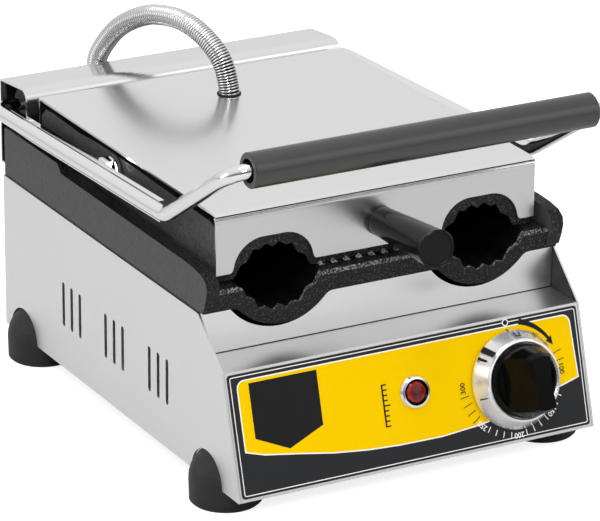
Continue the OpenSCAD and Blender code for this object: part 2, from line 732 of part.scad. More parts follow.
// Collar that seats the conduit on the cover
module conduit_ferrule() {
  color("dimgray") housing_frame() translate([conduit_foot[0], conduit_foot[1], cover_top])
    difference() {
      rotate_extrude() polygon([[0, -sheet - 3], [9.5, -sheet - 3], [9.5, -sheet], [7.8, -sheet],
                                [7.8, 0], [8.2, 0], [8.2, 0.6], [7.9, 0.9], [0, 0.9]]);
      translate([0, 0, -20]) cylinder(h = 40, r = conduit_d / 2 + 0.2);
    }
}

// ---------------------------------------------------------------- fasteners

// Screws of the rear panel, the hood and the front lip
module panel_screws() {
  color("lightgray") housing_frame() {
    for (x = rear_screws) translate([x, body_d, 12]) rotate([-90, 0, 0]) pan_screw(2, 5, 3.8, 2.4);
    for (x = hood_screws) translate([x, body_d + sheet + 0.03, 97.6]) rotate([-90, 0, 0])
      pan_screw(2, 8, 3.8, 2.4);
    for (x = lip_screws) translate([x, 7, 0]) rotate([180, 0, 0]) pan_screw(2, 6, 3.6, 2.2);
  }
}

module cover_screws() {
  color("lightgray") housing_frame() for (x = [-70, 70])
    translate([x, cover_back, 158]) rotate([-90, 0, 0]) pan_screw(2, 7, 3.6, 2.2);
}

// ---------------------------------------------------------------- lift frame

// From the hinge axis, with y running forwards along the side runs
module along_run() { translate([0, hinge[0], hinge[1]]) rotate([-run_slope, 0, 0]) children(); }

// One bent rod: front cross run in the grip, two rising legs, two side runs, and two ends
// turned inwards as the hinge journals
module lift_rod() {
  run = norm(bend - hinge);
  rise = norm(grip_at - bend);
  turn = rise_slope - run_slope;
  cut = side_bend * tan(turn / 2);
  // straight lengths enter the bends a little way and are a hair thinner
  lap = 0.4;
  bar_r = rod_r - 0.02;
  color("silver") housing_frame() {
    bar_x(-rod_x + grip_bend - lap, rod_x - grip_bend + lap, grip_at[0], grip_at[1], bar_r);
    pair() {
      translate([0, grip_at[0], grip_at[1]]) rotate([-rise_slope, 0, 0]) {
        translate([rod_x - grip_bend, grip_bend, 0]) rotate(-90) elbow(grip_bend, rod_r, 90);
        bar_y(grip_bend - lap, rise - cut + lap, rod_x, 0, bar_r);
      }
      along_run() {
        bar_y(-run + cut - lap, lap - hinge_bend, rod_x, 0, bar_r);
        translate([rod_x - hinge_bend, -hinge_bend, 0]) elbow(hinge_bend, rod_r, 90);
        translate([rod_x, -run + cut, side_bend]) rotate([0, 90, 0]) rotate(-turn)
          elbow(side_bend, rod_r, turn);
      }
      bar_x(28, rod_x - hinge_bend + lap, hinge[0], hinge[1], bar_r);
    }
  }
}

// Flat bar welded inside a side run; the pivot stud passes through it
module arm_strap() {
  difference() {
    along_run() side_view(strap_x, strap_x + strap_t)
      translate([-236, 3 - strap_h]) square([222, strap_h]);
    bar_x(100, 140, pivot[0], pivot[1], stud_r);
  }
}

module arm_strap_left() { color("silver") housing_frame() mirror([1, 0, 0]) arm_strap(); }
module arm_strap_right() { color("silver") housing_frame() arm_strap(); }

// Stud welded into the strap; its inner end is the journal of the upper plate
module pivot_stud() { bar_x(102, strap_x + strap_t - 0.2, pivot[0], pivot[1], stud_r); }

module pivot_stud_left() { color("lightgray") housing_frame() mirror([1, 0, 0]) pivot_stud(); }
module pivot_stud_right() { color("lightgray") housing_frame() pivot_stud(); }

// A washer and a nut on each stud, between the strap and the upper plate's boss
module pivot_nuts() {
  color("lightgray") housing_frame() pair() translate([0, pivot[0], pivot[1]]) rotate([0, 90, 0])
    difference() {
      union() {
        translate([0, 0, boss_x + 0.4]) cylinder(h = 1.8, r = 9.5);
        translate([0, 0, boss_x + 2.2 - eps]) rotate(30) linear_extrude(strap_x - boss_x - 2.2) hexagon(17);
      }
      translate([0, 0, 100]) cylinder(h = 40, r = stud_r);
    }
}

// Clamp collar on a hinge journal: its ear carries the spring's tail and stops the opening
module stop_collar() {
  difference() {
    union() {
      bar_x(collar_x, collar_x + collar_t, hinge[0], hinge[1], 8.6);
      side_view(collar_x, collar_x + collar_t) translate(hinge) rotate(stop_rest)
        translate([0, -3]) square([13.4, 6]);
    }
    bar_x(80, 120, hinge[0], hinge[1], rod_r);
  }
}
stop_rest = 128;

module stop_collar_left() { color("gray") housing_frame() mirror([1, 0, 0]) stop_collar(); }
module stop_collar_right() { color("gray") housing_frame() stop_collar(); }

// Black tube over the front cross run, bored out at both ends
module lift_grip() {
  color("black") housing_frame() difference() {
    translate([0, grip_at[0], grip_at[1]]) rotate([0, 90, 0]) rotate_extrude($fn = 96)
      polygon([[0, -grip_len / 2], [grip_d / 2 - 0.6, -grip_len / 2], [grip_d / 2, 0.6 - grip_len / 2],
               [grip_d / 2, grip_len / 2 - 0.6], [grip_d / 2 - 0.6, grip_len / 2], [0, grip_len / 2]]);
    bar_x(-half_w, half_w, grip_at[0], grip_at[1], rod_r + fit);
    pair() bar_x(grip_len / 2 - 12, grip_len / 2 + 1, grip_at[0], grip_at[1], 7.6);
  }
}

// ---------------------------------------------------------------- cover and small handle

// Points of an arc about the centre of the cover's front roll
function roll_arc(r, from, to, steps) = [for (i = [0 : steps])
  let (a = from + (to - from) * i / steps) [cover_y + 4.6 + r * cos(a), cover_top - 6.1 + r * sin(a)]];

// Top sheet of the cover: rolled over the front edge, with a fine bead along the roll's end,
// and folded down behind
module top_cover() {
  color("lightgray") housing_frame() difference() {
    side_view(-cover_x, cover_x) polygon(concat(
      [[cover_back, 150], [cover_back, cover_top]], roll_arc(6.1, 90, 141, 8),
      roll_arc(5.65, 142.5, 145.5, 1), roll_arc(6.1, 147, 152.5, 2), roll_arc(5.7, 155, 155.1, 1),
      roll_arc(6.1 - sheet, 154, 90, 8), [[cover_back - sheet, cover_top - sheet], [cover_back - sheet, 150]]));
    translate([conduit_foot[0], conduit_foot[1], cover_top - 10]) cylinder(h = 20, r = 7.9);
    for (x = [-70, 70]) bar_y(cover_back - 5, cover_back + 5, x, 158, 2.1);
  }
}

// An arch over a cone's mouth, with small flared feet
module mouth_arch(z0) {
  r = 21;
  w = 7.5;
  flare = 3;
  for (x = [-w, w]) translate([x, z0]) circle(r, $fn = 96);
  translate([-w, z0]) square([2 * w, r]);
  for (side = [-1, 1]) difference() {
    translate([side * (w + r + flare / 2 - 0.5), z0 + flare / 2]) square([flare + 1, flare], center = true);
    translate([side * (w + r + flare), z0 + flare]) circle(flare, $fn = 32);
  }
}

// Front sheet of the cover, tucked under the roll, with an arch over each mould
module cover_front() {
  low = 128.5;
  color("gainsboro") housing_frame() difference() {
    side_view(-cover_x, cover_x) polygon(concat([[cover_y + 0.1, low]],
      roll_arc(4.5, 180, 120, 6), roll_arc(4.5 - sheet, 120, 180, 6), [[cover_y + 0.1 + sheet, low]]));
    pair() front_view(cover_y - 5, cover_y + 6) translate([75, 0]) mouth_arch(low - 0.1);
    bar_y(cover_y - 5, cover_y + 5, 0, handle_at[1] + 0.6, 4.3);
  }
}

// Small tapered handle with a collar at the cover and a recessed end
module front_handle() {
  r0 = handle_r0;
  r1 = handle_r1;
  l = handle_len;
  color("black") housing_frame() difference() {
    translate([0, handle_at[0], handle_at[1]]) rotate([90 - handle_rise, 0, 0]) difference() {
      rotate_extrude($fn = 96) polygon([[0, -2], [r0, -2], [r0, 3], [r0 - 0.3, 4.5], [r0, 8],
        [r1, l - 2], [r1 + 0.2, l - 0.8], [r1 - 0.4, l], [r1 - 1.6, l], [r1 - 2, l - 0.7], [0, l - 0.7]]);
    }
    bar_y(cover_y - 30, cover_y + 10, 0, handle_at[1] + 0.6, 4);
    translate([-30, cover_y, 100]) cube([60, 20, 80]);
  }
}

// Stud that holds the small handle to the upper plate
module handle_stud() {
  color("lightgray") housing_frame() bar_y(cover_y - 29, upper_y0 + 15, 0, handle_at[1] + 0.6, 3.98);
}

// ---------------------------------------------------------------- parts

side_panel_left();
side_panel_right();
front_panel();
rear_panel();
bottom_plate();
control_label();
foot_front_left();
foot_front_right();
foot_rear_left();
foot_rear_right();
foot_bolts();
lower_casting();
lower_heater();
lower_insulation();
heat_shield();
thermostat_body();
thermostat_nut();
sensor_bulb();
pilot_bezel();
pilot_lens();
pilot_body();
terminal_block();
cable_gland();
hinge_deck();
hinge_bracket_left();
hinge_bracket_right();
bracket_bolts();
spring_housing();
torsion_spring_left();
torsion_spring_right();
conduit();
conduit_gland();
panel_screws();
lift_rod();
arm_strap_left();
arm_strap_right();
pivot_stud_left();
pivot_stud_right();
pivot_nuts();
stop_collar_left();
stop_collar_right();
lift_grip();
upper_casting();
top_cover();
cover_front();
front_handle();
handle_stud();
upper_heater();
upper_insulation();
conduit_ferrule();
cover_screws();
thermostat_spindle();
knob_skirt();
knob_grip();
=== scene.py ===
"""Looks of a counter-top waffle cone maker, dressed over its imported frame.

The housing is folded stainless sheet, the moulds are rough black castings, and the lift
frame is a chromed bar with a black grip. Lengths in the classes are millimetres, measured
from the foot of the control face at the side panels' lower edge; place() turns them into
the frame's metres.
"""

import logging
import math
from dataclasses import dataclass, field
from enum import Enum
from typing import Optional, Sequence, Union

import bmesh
import bpy
from mathutils import Matrix, Vector


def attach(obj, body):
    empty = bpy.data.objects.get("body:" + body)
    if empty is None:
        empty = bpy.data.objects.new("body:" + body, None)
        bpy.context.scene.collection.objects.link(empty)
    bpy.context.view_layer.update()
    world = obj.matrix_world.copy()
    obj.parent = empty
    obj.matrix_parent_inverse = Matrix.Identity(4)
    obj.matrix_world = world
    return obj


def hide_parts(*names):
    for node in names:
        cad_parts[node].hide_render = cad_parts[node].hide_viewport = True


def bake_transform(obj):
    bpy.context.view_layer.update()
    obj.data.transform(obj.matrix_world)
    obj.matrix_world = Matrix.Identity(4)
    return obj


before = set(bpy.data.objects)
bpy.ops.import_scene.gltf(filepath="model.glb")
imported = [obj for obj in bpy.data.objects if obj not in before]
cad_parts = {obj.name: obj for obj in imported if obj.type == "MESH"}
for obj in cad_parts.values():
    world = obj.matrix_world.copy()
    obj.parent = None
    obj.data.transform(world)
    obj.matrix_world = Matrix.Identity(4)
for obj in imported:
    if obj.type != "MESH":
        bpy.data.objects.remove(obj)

logging.basicConfig(level=logging.INFO, format="%(name)s: %(message)s")
log = logging.getLogger("waffle_cone_maker")

MM = 0.001
FOOT_DROP = 16.3
DEPTH_MIDDLE = 174.9148
Point = tuple[float, float]
Triple = tuple[float, float, float]
Tree = bpy.types.NodeTree
Socket = bpy.types.NodeSocket
Stops = Sequence[tuple[float, str]]


class Body(Enum):
    """The rigid bodies of the frame."""

    BASE = "base"
    LIFT = "lift_frame"
    PLATE = "upper_plate"
    KNOB = "knob"


# ------------------------------------------------------------------ places


def place(x: float, y: float, z: float) -> Vector:
    """Turn housing millimetres into the frame's metres.

    Args:
        x: Distance to the right of the middle.
        y: Distance behind the foot of the control face.
        z: Height above the side panels' lower edge.

    Returns:
        The point in the frame, in metres.
    """
    return Vector((x * MM, (y - DEPTH_MIDDLE) * MM, (z + FOOT_DROP) * MM))


def housing_matrix() -> Matrix:
    """Return the matrix from housing millimetres to the frame's metres."""
    return Matrix.Translation(place(0, 0, 0)) @ Matrix.Diagonal((MM, MM, MM, 1))


@dataclass(frozen=True)
class ControlFace:
    """The sloping face that carries the controls."""

    run: float = 22.9
    rise: float = 78.5

    def matrix(self) -> Matrix:
        """Return the matrix from (across, up the slope, outwards) millimetres to the frame.

        Returns:
            The matrix, which ends in metres.
        """
        lean = math.atan2(self.run, self.rise)
        turn = Matrix.Rotation(math.pi / 2 - lean, 4, "X")
        return housing_matrix() @ turn


# ------------------------------------------------------------------ colour and nodes


def colour(hex_value: str) -> tuple[float, float, float, float]:
    """Turn an sRGB hex colour into linear RGBA.

    Args:
        hex_value: Colour written as "#rrggbb".

    Returns:
        The linear colour with an alpha of one.
    """
    parts = [int(hex_value[i : i + 2], 16) / 255 for i in (1, 3, 5)]
    linear = [c / 12.92 if c <= 0.04045 else ((c + 0.055) / 1.055) ** 2.4 for c in parts]
    return (*linear, 1.0)


def add_node(
    tree: Tree,
    kind: str,
    links: Optional[dict[Union[str, int], Socket]] = None,
    inputs: Optional[dict[Union[str, int], object]] = None,
    **settings: object,
) -> bpy.types.Node:
    """Add one shader node, set it up and link it.

    Args:
        tree: The node tree that gets the node.
        kind: The node's type name.
        links: Output sockets to link, by input name or index.
        inputs: Constants, by input name or index.
        settings: Attributes of the node itself.

    Returns:
        The new node.
    """
    node = tree.nodes.new(kind)
    for name, value in settings.items():
        setattr(node, name, value)
    for name, value in (inputs or {}).items():
        node.inputs[name].default_value = value
    for name, socket in (links or {}).items():
        tree.links.new(socket, node.inputs[name])
    return node


def calculate(tree: Tree, operation: str, *values: Union[float, Socket]) -> Socket:
    """Add one math node.

    Args:
        tree: The node tree that gets the node.
        operation: What the node does.
        values: Its inputs in order, each a constant or a socket.

    Returns:
        Its result.
    """
    links = {i: value for i, value in enumerate(values) if isinstance(value, Socket)}
    inputs = {i: value for i, value in enumerate(values) if i not in links}
    return add_node(tree, "ShaderNodeMath", links, inputs, operation=operation).outputs[0]


def spread(
    tree: Tree, value: Socket, low: float, high: float, bottom: float = 0.0, top: float = 1.0
) -> Socket:
    """Stretch one range of a value over another, and clamp it there.

    Args:
        tree: The node tree that gets the node.
        value: The value.
        low: Where the value's range starts.
        high: Where it ends.
        bottom: What the result is at the start.
        top: What it is at the end.

    Returns:
        The result.
    """
    limits = {"From Min": low, "From Max": high, "To Min": bottom, "To Max": top}
    return add_node(tree, "ShaderNodeMapRange", {"Value": value}, limits).outputs[0]


def ramp(tree: Tree, value: Socket, stops: Stops) -> Socket:
    """Colour a value by stops.

    Args:
        tree: The node tree that gets the node.
        value: The value, from 0 to 1.
        stops: Positions and their hex colours, in order.

    Returns:
        The colour.
    """
    node = add_node(tree, "ShaderNodeValToRGB", {"Fac": value})
    elements = node.color_ramp.elements
    while len(elements) > 1:
        elements.remove(elements[-1])
    elements[0].position = stops[0][0]
    elements[0].color = colour(stops[0][1])
    for position, shade in stops[1:]:
        elements.new(position).color = colour(shade)
    return node.outputs[0]


# ------------------------------------------------------------------ kinds of finish


@dataclass(frozen=True)
class Finish:
    """A surface finish: its shader constants and, in subclasses, its pattern."""

    name: str
    base: str
    roughness: float
    metallic: float = 0.0
    ior: float = 1.5
    coat: float = 0.0
    gloss: float = 0.5

    def material(self) -> bpy.types.Material:
        """Make the finish's material, or find it where it is already made.

        Returns:
            The material.
        """
        found = bpy.data.materials.get(self.name)
        if found:
            return found
        made = bpy.data.materials.new(self.name)
        made.use_nodes = True
        tree = made.node_tree
        tree.nodes.clear()
        shader = add_node(tree, "ShaderNodeBsdfPrincipled")
        shader.inputs["Base Color"].default_value = colour(self.base)
        shader.inputs["Roughness"].default_value = self.roughness
        shader.inputs["Metallic"].default_value = self.metallic
        if self.metallic < 0.5:
            shader.inputs["IOR"].default_value = self.ior
            shader.inputs["Specular IOR Level"].default_value = self.gloss
        shader.inputs["Coat Weight"].default_value = self.coat
        shader.inputs["Coat Roughness"].default_value = 0.08
        add_node(tree, "ShaderNodeOutputMaterial", {"Surface": shader.outputs[0]})
        self.pattern(tree, shader)
        return made

    def pattern(self, tree: Tree, shader: bpy.types.Node) -> None:
        """Add the finish's own pattern; the plain finish has none."""

    def position(self, tree: Tree, scale: Triple = (1.0, 1.0, 1.0)) -> Socket:
        """Return Object coordinates, scaled to a pattern's own units."""
        source = add_node(tree, "ShaderNodeTexCoord").outputs["Object"]
        return add_node(tree, "ShaderNodeMapping", {"Vector": source}, {"Scale": scale}).outputs[0]

    def part(self, tree: Tree, kind: str, axis: str) -> Socket:
        """Return one component of the position ("Object") or of the skin's direction ("Normal")."""
        source = add_node(tree, "ShaderNodeTexCoord").outputs[kind]
        return add_node(tree, "ShaderNodeSeparateXYZ", {"Vector": source}).outputs[axis]

    def noise(self, tree: Tree, scale: Triple, detail: float, roughness: float = 0.5) -> Socket:
        """Add one noise.

        Args:
            tree: The material's nodes.
            scale: Cells per metre, along each axis.
            detail: The noise's octaves.
            roughness: How strong its finer octaves are.

        Returns:
            Its value.
        """
        settings = {"Scale": 1.0, "Detail": detail, "Roughness": roughness}
        vector = self.position(tree, scale)
        return add_node(tree, "ShaderNodeTexNoise", {"Vector": vector}, settings).outputs[0]

    def distance(self, tree: Tree, spot: Vector) -> Socket:
        """Return the distance in metres from a point of the frame."""
        links = {0: self.position(tree)}
        return add_node(tree, "ShaderNodeVectorMath", links, {1: spot}, operation="DISTANCE").outputs["Value"]

    def vary_roughness(self, tree: Tree, shader: bpy.types.Node, factor: Socket, either_way: Point) -> None:
        """Spread the roughness below and above its own value, by a pattern."""
        low, high = max(0.02, self.roughness - either_way[0]), self.roughness + either_way[1]
        tree.links.new(spread(tree, factor, 0.0, 1.0, low, high), shader.inputs["Roughness"])

    def bump(
        self, tree: Tree, shader: bpy.types.Node, height: Socket, depth_mm: float, strength: float
    ) -> None:
        """Raise the surface by a pattern, to a depth in millimetres."""
        amount = {"Distance": depth_mm * MM, "Strength": strength}
        normal = add_node(tree, "ShaderNodeBump", {"Height": height}, amount).outputs[0]
        tree.links.new(normal, shader.inputs["Normal"])

    def mix(self, tree: Tree, factor: Socket, under: object, over: object) -> Socket:
        """Lay one colour over another.

        Args:
            tree: The material's nodes.
            factor: How much of the upper colour shows.
            under: The lower colour, a constant or a socket.
            over: The upper colour, a constant or a socket.

        Returns:
            The mixed colour.
        """
        node = add_node(tree, "ShaderNodeMix", {"Factor": factor}, data_type="RGBA")
        for socket, value in ((node.inputs[6], under), (node.inputs[7], over)):
            if isinstance(value, Socket):
                tree.links.new(value, socket)
            else:
                socket.default_value = value
        return node.outputs["Result"]

    def facing(self, tree: Tree, axis: str) -> Socket:
        """Return 1 where the skin faces straight along an axis, either way."""
        return spread(tree, calculate(tree, "ABSOLUTE", self.part(tree, "Normal", axis)), 0.8, 0.96)

    def within(self, tree: Tree, value: Socket, centre: float, half_mm: float) -> Socket:
        """Return 1 where a value in metres is within some millimetres of a centre."""
        return calculate(tree, "COMPARE", value, centre, half_mm * MM)

    def product(self, tree: Tree, *factors: Socket) -> Socket:
        """Multiply masks.

        Args:
            tree: The material's nodes.
            factors: The masks.

        Returns:
            Their product.
        """
        total = factors[0]
        for factor in factors[1:]:
            total = calculate(tree, "MULTIPLY", total, factor)
        return total

    def inverse(self, tree: Tree, mask: Socket) -> Socket:
        """Return one minus a mask."""
        return calculate(tree, "SUBTRACT", 1.0, mask)


@dataclass(frozen=True)
class RolledStainless(Finish):
    """Cold rolled 304 sheet: long fine grain lines along one axis, and faint cloudiness."""

    grain: Triple = (14.0, 900.0, 900.0)

    def pattern(self, tree: Tree, shader: bpy.types.Node) -> None:
        """Add grain of about 1 mm pitch, drawn coarser than the real 0.2 mm, and clouds of 60 mm.

        Args:
            tree: The material's nodes.
            shader: Its shader.
        """
        lines = self.noise(tree, self.grain, 3.0, 0.6)
        clouds = self.noise(tree, (16.0, 16.0, 16.0), 1.0)
        mixed = add_node(tree, "ShaderNodeMix", {"A": lines, "B": clouds}, {"Factor": 0.45}).outputs[0]
        self.vary_roughness(tree, shader, mixed, (0.07, 0.07))
        self.bump(tree, shader, lines, 0.012, 0.5)
        steel: object = colour(self.base)
        for mask, shade in self.stains(tree):
            steel = self.mix(tree, mask, steel, colour(shade))
            tree.links.new(steel, shader.inputs["Base Color"])

    def stains(self, tree: Tree) -> list[tuple[Socket, str]]:
        """Return the masks and colours of the sheet's darker parts; the plain sheet has none."""
        return []

    def line(self, tree: Tree, middle: Point, half: Point) -> Socket:
        """Return 1 in a thin line along X.

        Args:
            tree: The material's nodes.
            middle: The line's place in the housing, as (y, z).
            half: Half its size along y and z.

        Returns:
            The mask.
        """
        spot = place(0, *middle)
        across = self.within(tree, self.part(tree, "Object", "Y"), spot.y, half[0])
        up = self.within(tree, self.part(tree, "Object", "Z"), spot.z, half[1])
        return self.product(tree, across, up)


@dataclass(frozen=True)
class SideSheet(RolledStainless):
    """A side panel's sheet: clean outside, with painted shade on its inner face."""

    # painted shade of the inner faces
    inside: str = "#1c1c1d"

    def stains(self, tree: Tree) -> list[tuple[Socket, str]]:
        """Paint shade on the faces that look towards the part's middle."""
        inwards = self.product(tree, self.part(tree, "Object", "X"), self.part(tree, "Normal", "X"))
        # painted shade where the faces look inwards
        return [(calculate(tree, "LESS_THAN", inwards, -0.05), self.inside)]


@dataclass(frozen=True)
class CoverSheet(RolledStainless):
    """The cover's sheet, with the two shadow lines beside the bead of its rolled front edge."""

    shadow: str = "#161616"

    def stains(self, tree: Tree) -> list[tuple[Socket, str]]:
        """Darken the two lines."""
        return [(self.line(tree, (57.5, z), (2.5, 0.3)), self.shadow) for z in (166.9, 165.1)]


@dataclass(frozen=True)
class FrontSheet(RolledStainless):
    """The front sheet: painted shade on the shelf, and a painted shadow line along the shelf's inner fold."""

    # painted shade on the shelf's upward faces
    shelf: str = "#c9c9c9"
    # painted shadow along the fold
    fold_shadow: str = "#4a4a4a"

    def stains(self, tree: Tree) -> list[tuple[Socket, str]]:
        """Paint shade on the upward faces and a shadow line in the fold."""
        fold = self.line(tree, (54.3, 78.5), (0.7, 0.5))
        return [(self.facing(tree, "Z"), self.shelf), (fold, self.fold_shadow)]


@dataclass(frozen=True)
class SandCasting(Finish):
    """Black enamelled sand casting: lumpy skin of 2 to 3 mm, with painted glints in specks of about 1 mm.

    The upright flanks carry painted light, greyer than the rest, with a painted shadow line along the gap
    below; faces looking forwards are painted a lighter grey; the cone moulds are painted fully black as their
    deep shade; the teeth are bare metal, partly a painted highlight; and the lower mouths' edges and the
    lip's chamfer carry painted glints.
    """

    # painted light: the upright sides' lighter grey, darker in the hollows and lighter on the crests
    flank_light: str = "#4a4a4b"
    flank_light_hollow: str = "#39393a"
    flank_light_crest: str = "#555556"
    # painted light: the lighter grey of faces looking forwards
    front: str = "#1e1e1f"
    # painted glint of the specks
    speck_glint: str = "#717274"
    # bare metal of the teeth, partly a painted highlight, and painted glints on the edges
    iron_and_glint: str = "#b4b5b6"
    # painted shade: the moulds' deep insides and the line along the gap below the sides
    painted_black_shade: str = "#020202"
    depth: float = 0.9
    mouth: Triple = (74.5, 48.2, 123.1)
    mouth_half: Point = (30.2, 21.8)
    parting: float = 122.8
    # height of the painted shadow line along the gap below the sides
    gap_shadow: float = 108.0
    teeth_y: float = 57.8
    teeth_x: float = 44.5
    flutes_y: float = 49.6
    chamfer_lean: Triple = (0.0, -0.755, 0.656)

    def pattern(self, tree: Tree, shader: bpy.types.Node) -> None:
        """Add lumps to the height and the roughness, and colour the skin by where it is, with painted light
        and shade.

        Args:
            tree: The material's nodes.
            shader: Its shader.
        """
        lumps = self.noise(tree, (430.0,) * 3, 4.0, 0.66)
        specks = self.noise(tree, (760.0,) * 3, 2.0, 0.7)
        # painted glints in specks of about 1 mm
        glint_specks = spread(tree, specks, 0.55, 0.74, top=0.6)
        # painted light: faces looking forwards take a lighter grey
        skin = self.mix(tree, self.facing(tree, "Y"), colour(self.base), colour(self.front))
        skin = self.mix(tree, glint_specks, skin, colour(self.speck_glint))
        # painted light on the upright sides
        skin = self.mix(tree, self.facing(tree, "X"), skin, self.painted_flank_light(tree, lumps))
        # painted shade deep inside the moulds
        skin = self.mix(tree, self.moulds(tree), skin, colour(self.painted_black_shade))
        # bare metal of the teeth and painted glints on the edges
        skin = self.mix(tree, self.iron_and_glint_mask(tree, specks), skin, colour(self.iron_and_glint))
        tree.links.new(skin, shader.inputs["Base Color"])
        self.vary_roughness(tree, shader, lumps, (0.14, 0.2))
        self.bump(tree, shader, lumps, self.depth, 1.0)

    def painted_flank_light(self, tree: Tree, lumps: Socket) -> Socket:
        """Paint light on the upright side, a little darker in its hollows, with a painted shadow line along
        the gap below.

        Args:
            tree: The material's nodes.
            lumps: The skin's height.

        Returns:
            The upright side's painted colour.
        """
        grey = ramp(tree, lumps, [(0.3, self.flank_light_hollow), (0.5, self.flank_light), (0.75, self.flank_light_crest)])
        # painted shadow line along the gap below the sides
        gap_shadow = self.within(tree, self.part(tree, "Object", "Z"), place(0, 0, self.gap_shadow).z, 1.0)
        return self.mix(tree, gap_shadow, grey, colour(self.painted_black_shade))

    def mouth_distance(self, tree: Tree) -> Socket:
        """Measure from the nearer mouth's middle.

        Args:
            tree: The material's nodes.

        Returns:
            The distance, 0 in the middle and 1 at the rim.
        """
        middle = place(*self.mouth)
        half_x, half_z = (value * MM for value in self.mouth_half)
        side = calculate(tree, "ABSOLUTE", self.part(tree, "Object", "X"))
        across = calculate(tree, "MULTIPLY_ADD", side, 1 / half_x, -middle.x / half_x)
        up = calculate(tree, "MULTIPLY_ADD", self.part(tree, "Object", "Z"), 1 / half_z, -middle.z / half_z)
        offset = add_node(tree, "ShaderNodeCombineXYZ", {"X": across, "Y": up})
        return add_node(
            tree, "ShaderNodeVectorMath", {0: offset.outputs[0]}, operation="LENGTH"
        ).outputs["Value"]

    def chamfer(self, tree: Tree) -> Socket:
        """Find the lip's chamfer, which looks forwards and up.

        Args:
            tree: The material's nodes.

        Returns:
            1 on the chamfer.
        """
        coords = add_node(tree, "ShaderNodeTexCoord")
        lean = add_node(
            tree, "ShaderNodeVectorMath", {0: coords.outputs["Normal"]}, {1: self.chamfer_lean},
            operation="DOT_PRODUCT",
        )
        return calculate(tree, "GREATER_THAN", lean.outputs["Value"], 0.97)

    def moulds(self, tree: Tree) -> Socket:
        """Find the two cone moulds, behind their mouths.

        Args:
            tree: The material's nodes.

        Returns:
            1 inside them.
        """
        inside = calculate(tree, "LESS_THAN", self.mouth_distance(tree), 1.0)
        behind = calculate(tree, "GREATER_THAN", self.part(tree, "Object", "Y"), place(*self.mouth).y)
        return self.product(tree, inside, behind, self.inverse(tree, self.facing(tree, "Y")))

    def iron_and_glint_mask(self, tree: Tree, specks: Socket) -> Socket:
        """Find the bare metal of most of each small tooth, partly a painted highlight, and the painted glints
        along the lower mouths' edges and the lip's chamfer.

        Args:
            tree: The material's nodes.
            specks: The noise that breaks the bare iron up.

        Returns:
            How much bare metal and painted glint shows.
        """
        height = self.part(tree, "Object", "Z")
        depth = self.part(tree, "Object", "Y")
        side = calculate(tree, "ABSOLUTE", self.part(tree, "Object", "X"))
        level = place(0, 0, self.parting).z
        teeth = self.product(
            tree, calculate(tree, "GREATER_THAN", height, level + 0.7 * MM),
            self.within(tree, side, 0.0, self.teeth_x),
            self.within(tree, depth, place(0, self.teeth_y, 0).y, 2.0),
            spread(tree, specks, 0.36, 0.6, top=0.8),
        )
        flutes = self.product(
            tree, self.within(tree, self.mouth_distance(tree), 0.93, 220.0),
            self.inverse(tree, self.facing(tree, "Y")),
            self.within(tree, depth, place(0, self.flutes_y, 0).y, 2.2),
        )
        # painted glints along the lower mouths' edges and the chamfer
        edges = self.product(
            tree, calculate(tree, "LESS_THAN", height, level),
            calculate(tree, "MAXIMUM", flutes, self.chamfer(tree)),
            spread(tree, specks, 0.42, 0.66, top=0.6),
        )
        return calculate(tree, "MAXIMUM", teeth, edges)


@dataclass(frozen=True)
class GrainedFinish(Finish):
    """A moulded or plated surface with one fine even grain."""

    grain_mm: float = 0.8
    depth_mm: float = 0.02
    vary: float = 0.06

    def pattern(self, tree: Tree, shader: bpy.types.Node) -> None:
        """Add one noise of the grain's size to the roughness and the height.

        Args:
            tree: The material's nodes.
            shader: Its shader.
        """
        grain = self.noise(tree, (1000 / self.grain_mm,) * 3, 2.0)
        self.vary_roughness(tree, shader, grain, (self.vary, self.vary))
        self.bump(tree, shader, grain, self.depth_mm, 0.6)


@dataclass(frozen=True)
class LampBezel(GrainedFinish):
    """Satin chrome of the lamp's bezel, with a painted shadow in the recess round the lens."""

    middle: Triple = (2.2, 46.2, 2.4)
    recess: float = 8.5
    shadow: str = "#0a0a0a"

    def pattern(self, tree: Tree, shader: bpy.types.Node) -> None:
        """Add the grain, and paint a black shadow on what lies nearer to the lens than the bezel's crest.

        Args:
            tree: The material's nodes.
            shader: Its shader.
        """
        super().pattern(tree, shader)
        away = self.distance(tree, ControlFace().matrix() @ Vector(self.middle))
        inside = calculate(tree, "LESS_THAN", away, self.recess * MM)
        shade = self.mix(tree, inside, colour(self.base), colour(self.shadow))
        tree.links.new(shade, shader.inputs["Base Color"])


@dataclass(frozen=True)
class WoundStrip(Finish):
    """The conduit's strip: bright outside its arch, with painted shade inside it and painted black shade in
    its grooves by the cover.
    """

    # painted shade inside the arch
    arch_shade: str = "#8a8a8b"
    # painted shade in the grooves by the cover
    groove_shade: Optional[str] = None
    foot: Triple = (0.0, 263.0, 168.0)
    reach: Point = (22.0, 66.0)
    middle: Triple = (-21.0, 317.0, 152.0)
    bend: Point = (50.0, 66.0)

    def pattern(self, tree: Tree, shader: bpy.types.Node) -> None:
        """Paint shade on the steel towards the arch's middle, and paint it black as shade by the foot.

        Args:
            tree: The material's nodes.
            shader: Its shader.
        """
        # painted shade: darker towards the arch's middle
        steel = self.mix(
            tree, self.away(tree, self.middle, self.bend), colour(self.arch_shade), colour(self.base)
        )
        # painted shade: the grooves black near the foot
        if self.groove_shade:
            steel = self.mix(tree, self.away(tree, self.foot, self.reach), colour(self.groove_shade), steel)
        tree.links.new(steel, shader.inputs["Base Color"])

    def away(self, tree: Tree, spot: Triple, reach: Point) -> Socket:
        """Return 0 near a spot and 1 away from it, between two distances in millimetres."""
        near, far = (value * MM for value in reach)
        return spread(tree, self.distance(tree, place(*spot)), near, far)


